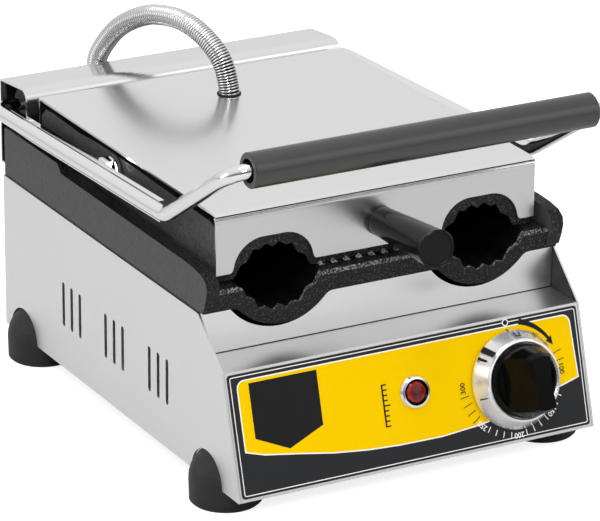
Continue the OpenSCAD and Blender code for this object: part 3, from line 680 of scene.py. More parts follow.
@dataclass(frozen=True)
class ClearLens(Finish):
    """Clear coloured styrene lens over a dark lamp, with soft 2 mm facets behind it.

    Its rim gathers the light, and its outermost edge lies in the bezel's shadow.
    """

    middle: Triple = (2.2, 46.2, 3.6)
    radius: float = 7.2
    stops: Stops = (
        (0.0, "#4e1410"), (0.5, "#661511"), (0.72, "#8c1a13"), (0.84, "#b23026"), (0.9, "#3a0806"),
        (1.0, "#0a0303"),
    )

    def pattern(self, tree: Tree, shader: bpy.types.Node) -> None:
        """Let a little light through and break the colour up by the facets.

        Args:
            tree: The material's nodes.
            shader: Its shader.
        """
        shader.inputs["Transmission Weight"].default_value = 0.15
        facets = add_node(
            tree, "ShaderNodeTexVoronoi", {"Vector": self.position(tree, (500.0,) * 3)}, {"Scale": 1.0}
        )
        away = self.distance(tree, ControlFace().matrix() @ Vector(self.middle))
        outwards = spread(tree, away, 0.0, self.radius * MM)
        blurred = add_node(
            tree, "ShaderNodeMix", {"A": outwards, "B": facets.outputs["Distance"]}, {"Factor": 0.12}
        )
        tree.links.new(ramp(tree, blurred.outputs[0], self.stops), shader.inputs["Base Color"])


class Finishes:
    """All finishes of the maker, by what the real pieces are made of."""

    # 304 sheet, grain along the folds: grey mirror softened to a broad sheen
    stainless_front = FrontSheet("stainless_sheet_grain_across", "#e6e6e6", 0.3, 1.0)
    stainless_side = SideSheet(
        "stainless_sheet_grain_lengthwise", "#e1e1e1", 0.36, 1.0, grain=(900.0, 14.0, 900.0)
    )
    stainless_rear = RolledStainless("stainless_sheet_of_rear", "#e1e1e1", 0.36, 1.0)
    # the cover's front sheet in front of the plate: the same steel, painted a darker grey as shade
    stainless_shaded = RolledStainless("stainless_sheet_painted_shade", "#d0d0d0", 0.32, 1.0)
    # bright annealed sheet of the hood: nearly a mirror
    stainless_bright = RolledStainless("stainless_sheet_bright", "#e4e4e4", 0.16, 1.0)
    # the cover's bright sheet, with the two shadow lines of its rolled front edge
    stainless_cover = CoverSheet("stainless_sheet_rolled_edge", "#e4e4e4", 0.2, 1.0)
    # burnt-on black enamel over rough iron: dark, with small wet-looking glints; its colour also holds
    # painted light, painted glints and painted shade
    casting = SandCasting("enamelled_sand_casting", "#0a0a0b", 0.42, gloss=0.16)
    # chrome over polished bar: a clean mirror with a faint ripple
    chrome = GrainedFinish(
        "bright_chrome_plate", "#eaeaea", 0.07, 1.0, grain_mm=6.0, depth_mm=0.004, vary=0.02
    )
    # satin chrome of the knob's skirt: a soft bright mirror over a whitish lacquer
    satin_chrome = GrainedFinish(
        "satin_chrome_plate", "#f2f2f2", 0.2, 0.75, grain_mm=8.0, depth_mm=0.003, vary=0.02
    )
    # the same chrome on the lamp's bezel, with a painted shadow in its recess
    bezel_chrome = LampBezel(
        "satin_chrome_of_bezel", "#ececec", 0.2, 1.0, grain_mm=8.0, depth_mm=0.003, vary=0.02
    )
    # nitrile rubber: dull and very dark
    rubber = GrainedFinish("moulded_nitrile_rubber", "#151516", 0.55, gloss=0.4, grain_mm=0.7, depth_mm=0.05)
    # pressed and polished phenolic resin: deep gloss black
    phenolic = GrainedFinish(
        "polished_black_phenolic", "#111111", 0.18, gloss=0.16, grain_mm=3.0, depth_mm=0.01
    )
    # the knob's phenolic, blacker still against the bright film
    knob_phenolic = GrainedFinish(
        "moulded_black_phenolic_of_knob", "#0b0b0b", 0.16, gloss=0.09, grain_mm=3.0, depth_mm=0.01
    )
    # extruded polyamide tube: a satin black that greys where the light falls along it
    grip_plastic = GrainedFinish(
        "satin_black_polyamide", "#1a1a1b", 0.3, gloss=0.9, grain_mm=0.5, depth_mm=0.03
    )
    # painted steel of the hinge parts inside the hood: dull black
    hinge_paint = GrainedFinish("black_stove_paint_on_steel", "#0c0c0d", 0.5, gloss=0.35, depth_mm=0.03)
    # zinc plated fasteners: grey metal with a soft bloom
    zinc = GrainedFinish("zinc_plated_steel", "#c3c5c7", 0.34, 1.0, grain_mm=1.5, depth_mm=0.01)
    # hot-dip galvanised sheet: flat grey with 9 mm spangle
    galvanised = GrainedFinish(
        "galvanised_sheet", "#77797b", 0.45, 1.0, grain_mm=9.0, depth_mm=0.01, vary=0.12
    )
    # incoloy sheath of a used element: brownish metal
    sheath = GrainedFinish("heat_tinted_element_sheath", "#6d6a66", 0.4, 1.0, grain_mm=2.0)
    # pressed mineral wool beside the plates, painted dark as the shade it lies in: no shine at all
    wool = GrainedFinish(
        "pressed_mineral_wool_in_painted_shade", "#2c2a27", 0.95, gloss=0.1, grain_mm=0.6, depth_mm=0.4
    )
    # moulded polyamide and steatite of the electrical parts: a warm half-matt white
    white_plastic = GrainedFinish("moulded_white_polyamide", "#e6e2d6", 0.5, grain_mm=1.0)
    # drawn copper of the bulb and its capillary: a warm soft mirror
    copper = GrainedFinish("bare_copper_tube", "#b8734a", 0.3, 1.0, grain_mm=2.0)
    # turned brass of the spindle: a yellow metal with fine tool marks
    brass = GrainedFinish("turned_brass", "#c2a14d", 0.28, 1.0, grain_mm=1.0)
    # oil-blackened spring wire: a dark metal with a grey shine along each coil
    spring_wire = GrainedFinish("oil_blackened_spring_wire", "#3b3c3e", 0.36, 1.0, grain_mm=1.0)
    # thin stainless strip, wound and burnished: a satin tube with faint bands
    strip_steel = WoundStrip("wound_stainless_strip", "#ececec", 0.26, 1.0)
    # the same strip down in its grooves: painted a shade darker as the shade in them, and painted black as
    # shade by the cover
    strip_groove = WoundStrip(
        "painted_shade_groove_of_wound_strip", "#cfcfcf", 0.3, 1.0, arch_shade="#727273", groove_shade="#070707"
    )
    # clear red styrene: deep red with a brighter ring where its rim gathers the light
    lens = ClearLens("red_styrene_lens", "#7c1310", 0.12, gloss=0.35)
    # screen-printed polyester film, each ink with the film's own soft gloss
    film_yellow = GrainedFinish(
        "printed_film_yellow", "#f3c600", 0.4, gloss=0.02, grain_mm=0.6, depth_mm=0.008
    )
    film_charcoal = GrainedFinish(
        "printed_film_charcoal", "#202123", 0.36, gloss=0.25, grain_mm=0.6, depth_mm=0.008
    )
    film_white = GrainedFinish("printed_film_white", "#f4f4f2", 0.36, gloss=0.3, grain_mm=0.6, depth_mm=0.006)
    film_black = GrainedFinish(
        "printed_film_black", "#0d0d0e", 0.34, gloss=0.25, grain_mm=0.6, depth_mm=0.006
    )
    # ink baked on the chrome: flat black
    skirt_ink = GrainedFinish("black_ink_on_chrome", "#0c0c0d", 0.4, gloss=0.3, grain_mm=0.6, depth_mm=0.006)


# ------------------------------------------------------------------ making pieces


def sharpen(bm: bmesh.types.BMesh, limit_deg: float) -> None:
    """Smooth every face and keep the strongly turned edges sharp.

    Args:
        bm: The shape.
        limit_deg: Edges that turn by more stay sharp.
    """
    for face in bm.faces:
        face.smooth = True
    for edge in bm.edges:
        if len(edge.link_faces) == 2:
            edge.smooth = edge.calc_face_angle(0.0) < math.radians(limit_deg)


def make_piece(
    name: str,
    bm: bmesh.types.BMesh,
    finish: Finish,
    body: Body,
    matrix: Optional[Matrix] = None,
    limit_deg: float = 35.0,
) -> bpy.types.Object:
    """Turn a bmesh into a finished piece that rides on a body.

    Args:
        name: The piece's name.
        bm: Its shape; it is freed.
        finish: The finish it gets.
        body: The body it moves with.
        matrix: From the shape's own units to the frame; the housing's if not given.
        limit_deg: Edges that turn by more stay sharp.

    Returns:
        The new object, at the origin.
    """
    bm.transform(matrix or housing_matrix())
    bmesh.ops.remove_doubles(bm, verts=bm.verts, dist=1e-6)
    bmesh.ops.recalc_face_normals(bm, faces=bm.faces)
    sharpen(bm, limit_deg)
    mesh = bpy.data.meshes.new(name)
    bm.to_mesh(mesh)
    bm.free()
    mesh.materials.append(finish.material())
    piece = bpy.data.objects.new(name, mesh)
    bpy.context.scene.collection.objects.link(piece)
    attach(piece, body.value)
    log.info("%s: %d faces on %s", name, len(mesh.polygons), body.value)
    return piece


def dress(finish: Finish, *nodes: str) -> None:
    """Give CAD nodes a finish through their material slots.

    Args:
        finish: The finish.
        nodes: The nodes' names.
    """
    for node in nodes:
        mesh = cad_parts[node].data
        if not mesh.materials:
            mesh.materials.append(finish.material())
        for index in range(len(mesh.materials)):
            mesh.materials[index] = finish.material()
        log.info("%s: %s", node, finish.name)


def outline_face(bm: bmesh.types.BMesh, points: Sequence[Point]) -> bmesh.types.BMFace:
    """Add one flat face from its outline."""
    return bm.faces.new([bm.verts.new((x, y, 0.0)) for x, y in points])


def disc(
    bm: bmesh.types.BMesh, middle: Point, radius: float, filled: bool, sides: int
) -> list[bmesh.types.BMVert]:
    """Add one circle, open or filled.

    Args:
        bm: The mesh that gets it.
        middle: Its centre.
        radius: Its radius.
        filled: Whether it has a face.
        sides: The number of its edges.

    Returns:
        Its vertices.
    """
    verts = bmesh.ops.create_circle(bm, cap_ends=filled, radius=radius, segments=sides)["verts"]
    bmesh.ops.translate(bm, verts=verts, vec=(*middle, 0))
    return verts


def thicken(bm: bmesh.types.BMesh, depth: float) -> None:
    """Pull flat faces outwards into closed plates, leaving their backs in place.

    Args:
        bm: The mesh of flat faces.
        depth: The plates' thickness.
    """
    made = bmesh.ops.extrude_face_region(bm, geom=bm.faces[:], use_keep_orig=True)
    moved = [item for item in made["geom"] if isinstance(item, bmesh.types.BMVert)]
    bmesh.ops.translate(bm, verts=moved, vec=(0, 0, depth))


def rounded(bm: bmesh.types.BMesh, verts: Sequence[bmesh.types.BMVert], radius: float) -> None:
    """Round the corners of a flat face in six steps each."""
    bmesh.ops.bevel(
        bm, geom=list(verts), offset=radius, offset_type="OFFSET", segments=6, profile=0.5,
        affect="VERTICES", material=-1,
    )


def rounded_outline(bm: bmesh.types.BMesh, points: Sequence[Point], radius: float, high: float) -> None:
    """Add a flat face from its outline, with rounded corners.

    Args:
        bm: The mesh that gets the face.
        points: The outline.
        radius: The radius of all its corners, or 0.
        high: The radius of its two highest corners, or 0.
    """
    face = outline_face(bm, points)
    if radius:
        rounded(bm, face.verts, radius)
    if high:
        rounded(bm, sorted(face.verts, key=lambda vert: -vert.co.y)[:2], high)


def lettering(text: str, size: float) -> bmesh.types.BMesh:
    """Return flat digits as a bmesh, centred on the origin.

    Args:
        text: The digits.
        size: Their height in millimetres.

    Returns:
        A bmesh in millimetres.
    """
    curve = bpy.data.curves.new("digits", "FONT")
    curve.body = text
    curve.size = size * 1.35
    curve.align_x = "CENTER"
    curve.align_y = "CENTER"
    curve.resolution_u = 4
    curve.offset = 0.09
    holder = bpy.data.objects.new("digits", curve)
    bpy.context.scene.collection.objects.link(holder)
    bpy.context.view_layer.update()
    mesh = bpy.data.meshes.new_from_object(holder.evaluated_get(bpy.context.evaluated_depsgraph_get()))
    bpy.data.objects.remove(holder)
    bpy.data.curves.remove(curve)
    bm = bmesh.new()
    bm.from_mesh(mesh)
    bpy.data.meshes.remove(mesh)
    return bm


def join_into(target: bmesh.types.BMesh, part: bmesh.types.BMesh, matrix: Matrix) -> None:
    """Copy one bmesh into another and free it.

    Args:
        target: The mesh that grows.
        part: The mesh that is added.
        matrix: Where it goes.
    """
    part.transform(matrix)
    mesh = bpy.data.meshes.new("part")
    part.to_mesh(mesh)
    part.free()
    target.from_mesh(mesh)
    bpy.data.meshes.remove(mesh)


# ------------------------------------------------------------------ the printed face


@dataclass
class ControlFilm:
    """The printed film on the control face, in (across, up the slope) millimetres."""

    ground: tuple[float, float, float, float] = (-127.0, 2.0, 127.0, 80.0)
    thickness: float = 0.4
    ink: float = 0.04
    corner: float = 2.0
    line_inset: float = 1.5
    line_width: float = 0.55
    yellow: Sequence[Point] = (
        (-121.3, 30.6), (-108.0, 26.6), (-83.6, 22.7), (-60.0, 18.6), (-36.0, 15.9), (-13.2, 14.6),
        (18.0, 14.2), (44.5, 16.2), (58.0, 18.0), (80.0, 24.0), (110.3, 30.5), (122.9, 33.9),
        (121.0, 75.8), (-121.3, 75.8),
    )
    yellow_corner: float = 5.5
    yellow_line: float = 0.8
    shield: Sequence[Point] = ((-113.0, 73.0), (-113.0, 38.0), (-90.0, 27.6), (-65.0, 38.0), (-65.0, 73.0))
    shield_line: float = 0.9
    dial: Point = (73.8, 41.8)
    dial_r: float = 36.5
    digit_r: float = 36.8
    digit_height: float = 3.7
    dark_ticks: Sequence[float] = (261, 252, 243, 234, 81, 72)
    dark_tick: tuple[float, float, float] = (33.2, 40.0, 0.55)
    pale_ticks: Sequence[float] = (216, 207, 198, 189, 171, 162, 153, 144, 126, 117)
    pale_tick: tuple[float, float, float] = (34.4, 38.4, 0.6)
    dark_numbers: dict[str, float] = field(default_factory=lambda: {"300": 270, "100": 90})
    pale_numbers: dict[str, float] = field(default_factory=lambda: {"250": 225, "200": 180, "150": 135})
    dot: Point = (73.4, 78.1)
    dot_r: float = 1.6
    dot_ring_r: float = 2.3
    ladder: tuple[float, float, float] = (-21.4, 27.7, 55.1)
    rail: float = 1.2
    rungs: int = 9
    rung_step: float = 3.31
    rung_height: float = 0.92
    rung_lengths: Point = (2.6, 4.0)
    windows: Sequence[Triple] = ((75.0, 41.0, 9.0), (2.2, 46.2, 8.4))
    layers: dict[str, float] = field(
        default_factory=lambda: {"ground": 0.0, "yellow": 0.42, "white": 0.47, "black": 0.52, "digits": 0.57}
    )

    def build(self) -> None:
        """Make every printed layer; the ground stands for the CAD film."""
        ground = self.plate(self.corners(0.0), self.thickness, self.corner, 0.0)
        piece = self.add(ground, "film_ground", Finishes.film_charcoal, "ground")
        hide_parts("control_label")
        yellow = self.plate(self.yellow, self.ink, 0.0, self.yellow_corner)
        self.add(yellow, "film_yellow", Finishes.film_yellow, "yellow")
        self.add(self.white_lines(), "film_white", Finishes.film_white, "white")
        self.add(self.black_marks(), "film_black", Finishes.film_black, "black")
        self.add(self.pale_digits(), "film_pale_digits", Finishes.film_white, "digits")

    def add(self, bm: bmesh.types.BMesh, name: str, finish: Finish, layer: str) -> bpy.types.Object:
        """Place one printed layer at its height."""
        bm.transform(Matrix.Translation((0, 0, self.layers[layer])))
        return make_piece(name, bm, finish, Body.BASE, ControlFace().matrix())

    def corners(self, inset: float) -> list[Point]:
        """Find the ground's corners.

        Args:
            inset: How far they are moved inwards.

        Returns:
            The four corners, in order.
        """
        x0, y0, x1, y1 = self.ground
        left, right, low, high = x0 + inset, x1 - inset, y0 + inset, y1 - inset
        return [(left, low), (right, low), (right, high), (left, high)]

    def plate(self, points: Sequence[Point], depth: float, radius: float, high: float) -> bmesh.types.BMesh:
        """Make a thin plate with its windows.

        Args:
            points: The plate's outline.
            depth: Its thickness.
            radius: The radius of all its corners, or 0.
            high: The radius of its two highest corners, or 0.

        Returns:
            The plate.
        """
        bm = bmesh.new()
        rounded_outline(bm, points, radius, high)
        for face in bm.faces[:]:
            self.punch(bm, face)
        thicken(bm, depth)
        return bm

    def punch(self, bm: bmesh.types.BMesh, face: bmesh.types.BMFace) -> None:
        """Cut the windows for the thermostat's spindle and the lamp out of a flat face.

        Args:
            bm: The face's mesh.
            face: The face, which triangles take the place of.
        """
        edges = list(face.edges)
        bmesh.ops.delete(bm, geom=[face], context="FACES_ONLY")
        for x, y, radius in self.windows:
            window = disc(bm, (x, y), radius, filled=False, sides=48)
            edges += {edge for vert in window for edge in vert.link_edges}
        bmesh.ops.triangle_fill(bm, edges=edges, use_beauty=True, normal=(0, 0, 1))

    def ring(
        self,
        bm: bmesh.types.BMesh,
        points: Sequence[Point],
        width: float,
        radius: float = 0.0,
        high: float = 0.0,
    ) -> None:
        """Add a closed line inside an outline.

        Args:
            bm: The mesh that gets the line.
            points: The outline.
            width: The line's width.
            radius: The radius of all its corners, or 0.
            high: The radius of its two highest corners, or 0.
        """
        before = set(bm.faces)
        rounded_outline(bm, points, radius, high)
        inner = [face for face in bm.faces if face not in before]
        bmesh.ops.inset_region(bm, faces=inner, thickness=width, use_even_offset=True, use_boundary=True)
        bmesh.ops.delete(bm, geom=inner, context="FACES")

    def white_lines(self) -> bmesh.types.BMesh:
        """Make the pale outlines of the ground, the yellow field and the shield, and the dot's ring.

        Returns:
            The lines.
        """
        bm = bmesh.new()
        self.ring(bm, self.corners(self.line_inset), self.line_width, radius=1.6)
        self.ring(bm, self.yellow, self.yellow_line, high=self.yellow_corner)
        self.ring(bm, self.shield, self.shield_line)
        disc(bm, self.dot, self.dot_ring_r, filled=True, sides=32)
        thicken(bm, self.ink)
        return bm

    def on_dial(self, angle: float, radius: float) -> Point:
        """Return a point of the dial at a clock angle."""
        turn = math.radians(angle)
        return (self.dial[0] + radius * math.sin(turn), self.dial[1] + radius * math.cos(turn))

    def tick(self, bm: bmesh.types.BMesh, angle: float, size: tuple[float, float, float]) -> None:
        """Add a straight tick of the dial.

        Args:
            bm: The mesh that gets it.
            angle: Its clock angle.
            size: Its two radii and its width.
        """
        r0, r1, width = size
        turn = math.radians(-angle)
        across, along = (math.cos(turn), math.sin(turn)), (-math.sin(turn), math.cos(turn))
        corners = ((-width / 2, r0), (width / 2, r0), (width / 2, r1), (-width / 2, r1))
        outline_face(bm, [
            (self.dial[0] + x * across[0] + y * along[0], self.dial[1] + x * across[1] + y * along[1])
            for x, y in corners
        ])

    def digits_at(self, bm: bmesh.types.BMesh, text: str, angle: float) -> None:
        """Add digits with their tops outwards.

        Args:
            bm: The mesh that gets them.
            text: The digits.
            angle: Their clock angle.
        """
        spot = Matrix.Translation((*self.on_dial(angle, self.digit_r), 0))
        turn = Matrix.Rotation(math.radians(-angle), 4, "Z")
        join_into(bm, lettering(text, self.digit_height), spot @ turn)

    def ladder_scale(self, bm: bmesh.types.BMesh) -> None:
        """Add the ladder scale: one rail, and rungs of which the middle one is longer.

        Args:
            bm: The mesh that gets it.
        """
        x, low, high = self.ladder
        rail = x + self.rail
        outline_face(bm, [(x, low), (rail, low), (rail, high), (x, high)])
        for i in range(self.rungs):
            s = low + i * self.rung_step
            end = rail + self.rung_lengths[i == self.rungs // 2]
            top = s + self.rung_height
            outline_face(bm, [(rail, s), (end, s), (end, top), (rail, top)])

    def black_marks(self) -> bmesh.types.BMesh:
        """Make the shield's field, the ladder scale, the dark ticks and numbers, the dot and the arrow.

        Returns:
            The marks.
        """
        bm = bmesh.new()
        face = outline_face(bm, self.shield)
        bmesh.ops.inset_region(
            bm, faces=[face], thickness=self.shield_line, use_even_offset=True, use_boundary=True
        )
        bmesh.ops.delete(bm, geom=[edge for edge in bm.faces if edge is not face], context="FACES")
        self.ladder_scale(bm)
        disc(bm, self.dot, self.dot_r, filled=True, sides=32)
        for angle in self.dark_ticks:
            self.tick(bm, angle, self.dark_tick)
        self.arrow(bm)
        thicken(bm, self.ink)
        digits = bmesh.new()
        for text, angle in self.dark_numbers.items():
            self.digits_at(digits, text, angle)
        thicken(digits, self.ink)
        join_into(bm, digits, Matrix.Identity(4))
        return bm

    def arrow(self, bm: bmesh.types.BMesh) -> None:
        """Add the tapering arc and its head, from the dot towards the higher numbers.

        Args:
            bm: The mesh that gets it.
        """
        steps = 14
        outer, inner = [], []
        for i in range(steps + 1):
            share = i / steps
            half = 1.9 - 0.9 * share
            outer.append(self.on_dial(15 + 40 * share, self.dial_r + half))
            inner.append(self.on_dial(15 + 40 * share, self.dial_r - half))
        head = ((55, self.dial_r + 2.6), (64, self.dial_r), (55, self.dial_r - 2.6))
        outline_face(bm, outer + [self.on_dial(angle, radius) for angle, radius in head] + inner[::-1])

    def pale_digits(self) -> bmesh.types.BMesh:
        """Make the numbers and ticks that stand on the charcoal ground.

        Returns:
            The marks.
        """
        bm = bmesh.new()
        for angle in self.pale_ticks:
            self.tick(bm, angle, self.pale_tick)
        for text, angle in self.pale_numbers.items():
            self.digits_at(bm, text, angle)
        thicken(bm, self.ink)
        return bm


# ------------------------------------------------------------------ the conduit


@dataclass
class StripWoundConduit:
    """The spiral conduit that carries the upper element's wires from the rear panel to the cover.

    It is wound in one go and parted on the rise of its arch into a lower and an upper length.
    Distances along the arch are level ones, from the cover's hole.
    """

    parting: float = 36.0
    swing: Point = (119.0, 40.0)
    tilt: Point = (33.0, 9.0)
    blend_height: float = 180.0
    radius: float = 7.0
    pitch: float = 1.8
    groove: float = 0.3
    sides: int = 28
    foot: Point = (1.0, 261.0)
    back: Point = (-43.0, 372.7)
    arch: Sequence[Point] = (
        (0, 160), (0, 166), (0.2, 172), (3.5, 184.3), (8.5, 192.9), (17.3, 201), (31, 208.4), (47, 211.8),
        (65.2, 210.5), (76, 207.3), (86.6, 202.5), (96.8, 196.1), (104.6, 189.2), (112.3, 180), (116.9, 173),
        (119.6, 166.5), (120, 158),
    )
    fall: Sequence[Point] = (
        (372.7, 134), (372.7, 100), (371.8, 88), (366.8, 73.5), (358.6, 65.8), (350, 64), (342, 64),
        (334, 64),
    )

    def station(self, along: float, height: float) -> Vector:
        """Return the point of the arch's plane at a distance and a height, in millimetres."""
        across = Vector((self.back[0] - self.foot[0], self.back[1] - self.foot[1], 0)).normalized()
        return Vector((self.foot[0], self.foot[1], height)) + across * along

    def route(self) -> list[Vector]:
        """Return the centre line, from the cover to the rear panel, in millimetres."""
        points = [self.station(along, height) for along, height in self.arch]
        return points + [Vector((self.back[0], y, z)) for y, z in self.fall]

    def smooth(self, steps: int = 10) -> list[Vector]:
        """Turn the route into a smooth curve through its points.

        Args:
            steps: The pieces of the curve between two points.

        Returns:
            The curve's points, in millimetres.
        """
        p = self.route()
        out: list[Vector] = []
        for i in range(len(p) - 1):
            a, b, c, d = p[max(i - 1, 0)], p[i], p[i + 1], p[min(i + 2, len(p) - 1)]
            for k in range(steps):
                t = k / steps
                square = (2 * a - 5 * b + 4 * c - d) * t * t
                cube = (3 * b - a - 3 * c + d) * t**3
                out.append(0.5 * (2 * b + (c - a) * t + square + cube))
        return out + [p[-1]]

    def turn(self) -> bmesh.types.BMesh:
        """Make one turn of the strip: a raised band beside a groove, spun round the x axis.

        Returns:
            The turn, with its groove in the second material.
        """
        bm = bmesh.new()
        r, g, p = self.radius, self.groove, self.pitch
        profile = (
            (0, r - g), (0.1 * p, r - 0.8 * g), (0.24 * p, r), (0.66 * p, r), (0.8 * p, r - 0.8 * g),
            (0.9 * p, r - g), (p, r - g),
        )
        verts = [bm.verts.new((x, 0, z)) for x, z in profile]
        edges = [bm.edges.new((a, b)) for a, b in zip(verts, verts[1:])]
        bmesh.ops.spin(
            bm, geom=verts + edges, cent=(0, 0, 0), axis=(1, 0, 0), angle=2 * math.pi, steps=self.sides,
            use_merge=True,
        )
        for face in bm.faces:
            face.material_index = int(not 0.2 * p < face.calc_center_median().x < 0.7 * p)
        return bm

    def guide(self, points: Sequence[Vector]) -> bpy.types.Object:
        """Make the curve that the strip is bent along.

        Args:
            points: The centre line, in millimetres.

        Returns:
            The curve's object.
        """
        line = bpy.data.curves.new("conduit_line", "CURVE")
        line.dimensions = "3D"
        spline = line.splines.new("POLY")
        spline.points.add(len(points) - 1)
        for spot, point in zip(spline.points, points):
            spot.co = (*(housing_matrix() @ point), 1)
        guide = bpy.data.objects.new("conduit_line", line)
        bpy.context.scene.collection.objects.link(guide)
        return guide

    def wind(self, strip: bpy.types.Object, points: Sequence[Vector], turns: int, length: float) -> None:
        """Repeat one turn of the strip along the route, and keep the result as its mesh.

        Args:
            strip: The object of one turn.
            points: The centre line, in millimetres.
            turns: The number of turns.
            length: The centre line's length, in millimetres.
        """
        guide = self.guide(points)
        repeat = strip.modifiers.new("turns", "ARRAY")
        repeat.use_relative_offset = False
        repeat.use_constant_offset = True
        repeat.constant_offset_displace = (length * MM / turns, 0, 0)
        repeat.count = turns
        repeat.use_merge_vertices = True
        repeat.merge_threshold = 2e-5
        bend = strip.modifiers.new("route", "CURVE")
        bend.object = guide
        bend.deform_axis = "POS_X"
        bpy.context.view_layer.update()
        wound = bpy.data.meshes.new_from_object(strip.evaluated_get(bpy.context.evaluated_depsgraph_get()))
        strip.modifiers.clear()
        strip.data = wound
        bpy.data.objects.remove(guide)

    def build(self) -> None:
        """Wind the strip and part it into its two lengths."""
        points = self.smooth()
        length = sum((b - a).length for a, b in zip(points, points[1:]))
        turns = round(length / self.pitch)
        lower = make_piece(
            "conduit_strip", self.turn(), Finishes.strip_steel, Body.BASE,
            Matrix.Diagonal((MM * length / self.pitch / turns, MM, MM, 1)), limit_deg=50,
        )
        lower.data.materials.append(Finishes.strip_groove.material())
        lower.parent = None
        self.wind(lower, points, turns, length)
        upper = lower.copy()
        upper.name = "conduit_strip_upper"
        upper.data = lower.data.copy()
        bpy.context.scene.collection.objects.link(upper)
        self.join(lower, near_cover=False)
        self.join(upper, near_cover=True)
        log.info("conduit: %d turns over %.0f mm", turns, length)

    def join(self, piece: bpy.types.Object, near_cover: bool) -> None:
        """Trim the wound strip to one of its two lengths.

        Args:
            piece: A copy of the whole strip.
            near_cover: Whether it is the length on the cover's side of the parting.
        """
        top = place(*self.station(self.parting, self.blend_height))
        way = place(*self.station(self.parting + 1, self.blend_height)) - top
        bm = bmesh.new()
        bm.from_mesh(piece.data)
        gone = [face for face in bm.faces if ((face.calc_center_median() - top).dot(way) < 0) != near_cover]
        bmesh.ops.delete(bm, geom=gone, context="FACES")
        bm.to_mesh(piece.data)
        bm.free()
        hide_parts("conduit")
        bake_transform(piece)


# ------------------------------------------------------------------ the knob's marks


@dataclass
class SkirtMarks:
    """Black marks printed on the knob's conical skirt.

    Each mark is two clock angles and two shares of the way from the cone's outer to its inner edge. The
    first is the pointer bar.
    """

    centre: Point = (75.0, 41.6)
    outer: Point = (32.8, 3.4)
    inner: Point = (27.0, 12.8)
    lift: float = 0.06
    marks: Sequence[tuple[Point, Point]] = (
        ((-48, -40.5), (0.04, 0.96)), ((-60, -53), (0.1, 0.16)), ((-57.5, -54.5), (0.16, 0.7)),
        ((-6.5, -4.5), (0.0, 0.22)), ((-1.5, 0), (0.35, 0.8)), ((0, 5), (0.72, 0.8)), ((5, 6.5), (0.4, 0.8)),
        ((28, 30), (0.2, 0.75)), ((31.5, 36), (0.2, 0.32)), ((-106, -104.5), (0.3, 0.85)),
    )

    def spot(self, angle: float, share: float) -> Vector:
        """Find a point of the cone.

        Args:
            angle: Its clock angle.
            share: 0 at the outer edge, 1 at the inner one.

        Returns:
            The point, in the control face's millimetres.
        """
        r = self.outer[0] + (self.inner[0] - self.outer[0]) * share
        h = self.outer[1] + (self.inner[1] - self.outer[1]) * share + self.lift
        turn = math.radians(angle)
        return Vector((self.centre[0] + r * math.sin(turn), self.centre[1] + r * math.cos(turn), h))

    def patch(self, bm: bmesh.types.BMesh, angles: Point, shares: Point) -> None:
        """Add one mark that follows the cone.

        Args:
            bm: The mesh that gets it.
            angles: The clock angles it lies between.
            shares: The heights it lies between.
        """
        first, last = angles
        steps = max(2, round(abs(last - first) / 3))
        turns = [first + (last - first) * i / steps for i in range(steps + 1)]
        low, high = ([bm.verts.new(self.spot(turn, share)) for turn in turns] for share in shares)
        for i in range(steps):
            bm.faces.new((low[i], low[i + 1], high[i + 1], high[i]))

    def build(self) -> None:
        """Make the pointer bar and the small generic marks round the skirt."""
        bm = bmesh.new()
        for angles, shares in self.marks:
            self.patch(bm, angles, shares)
        make_piece("skirt_marks", bm, Finishes.skirt_ink, Body.KNOB, ControlFace().matrix())


# ------------------------------------------------------------------ CAD nodes


def dress_frame() -> None:
    """Give every CAD node the finish of its real material."""
    f = Finishes
    dress(f.stainless_side, "side_panel_left", "side_panel_right")
    dress(f.stainless_rear, "rear_panel")
    dress(f.stainless_front, "front_panel")
    dress(f.stainless_shaded, "cover_front")
    dress(f.stainless_bright, "spring_housing")
    dress(f.stainless_cover, "top_cover")
    dress(f.galvanised, "bottom_plate", "heat_shield")
    dress(f.rubber, *(f"foot_{end}_{side}" for end in ("front", "rear") for side in ("left", "right")))
    dress(f.casting, "lower_casting", "upper_casting")
    dress(
        f.chrome, "lift_rod", "arm_strap_left", "arm_strap_right", "pivot_stud_left", "pivot_stud_right",
        "pivot_nuts",
    )
    dress(f.satin_chrome, "knob_skirt")
    dress(f.bezel_chrome, "pilot_bezel")
    dress(
        f.zinc, "foot_bolts", "thermostat_nut", "conduit_gland", "panel_screws", "handle_stud",
        "cover_screws",
    )
    dress(
        f.hinge_paint, "hinge_deck", "hinge_bracket_left", "hinge_bracket_right", "bracket_bolts",
        "stop_collar_left", "stop_collar_right",
    )
    dress(f.grip_plastic, "lift_grip", "cable_gland")
    dress(f.phenolic, "front_handle", "conduit_ferrule")
    dress(f.knob_phenolic, "knob_grip")
    dress(f.sheath, "lower_heater", "upper_heater")
    dress(f.wool, "lower_insulation", "upper_insulation")
    dress(f.white_plastic, "thermostat_body", "pilot_body", "terminal_block")
    dress(f.copper, "sensor_bulb")
    dress(f.brass, "thermostat_spindle")
    dress(f.spring_wire, "torsion_spring_left", "torsion_spring_right")
    dress(f.lens, "pilot_lens")


# ------------------------------------------------------------------ camera, light and floor


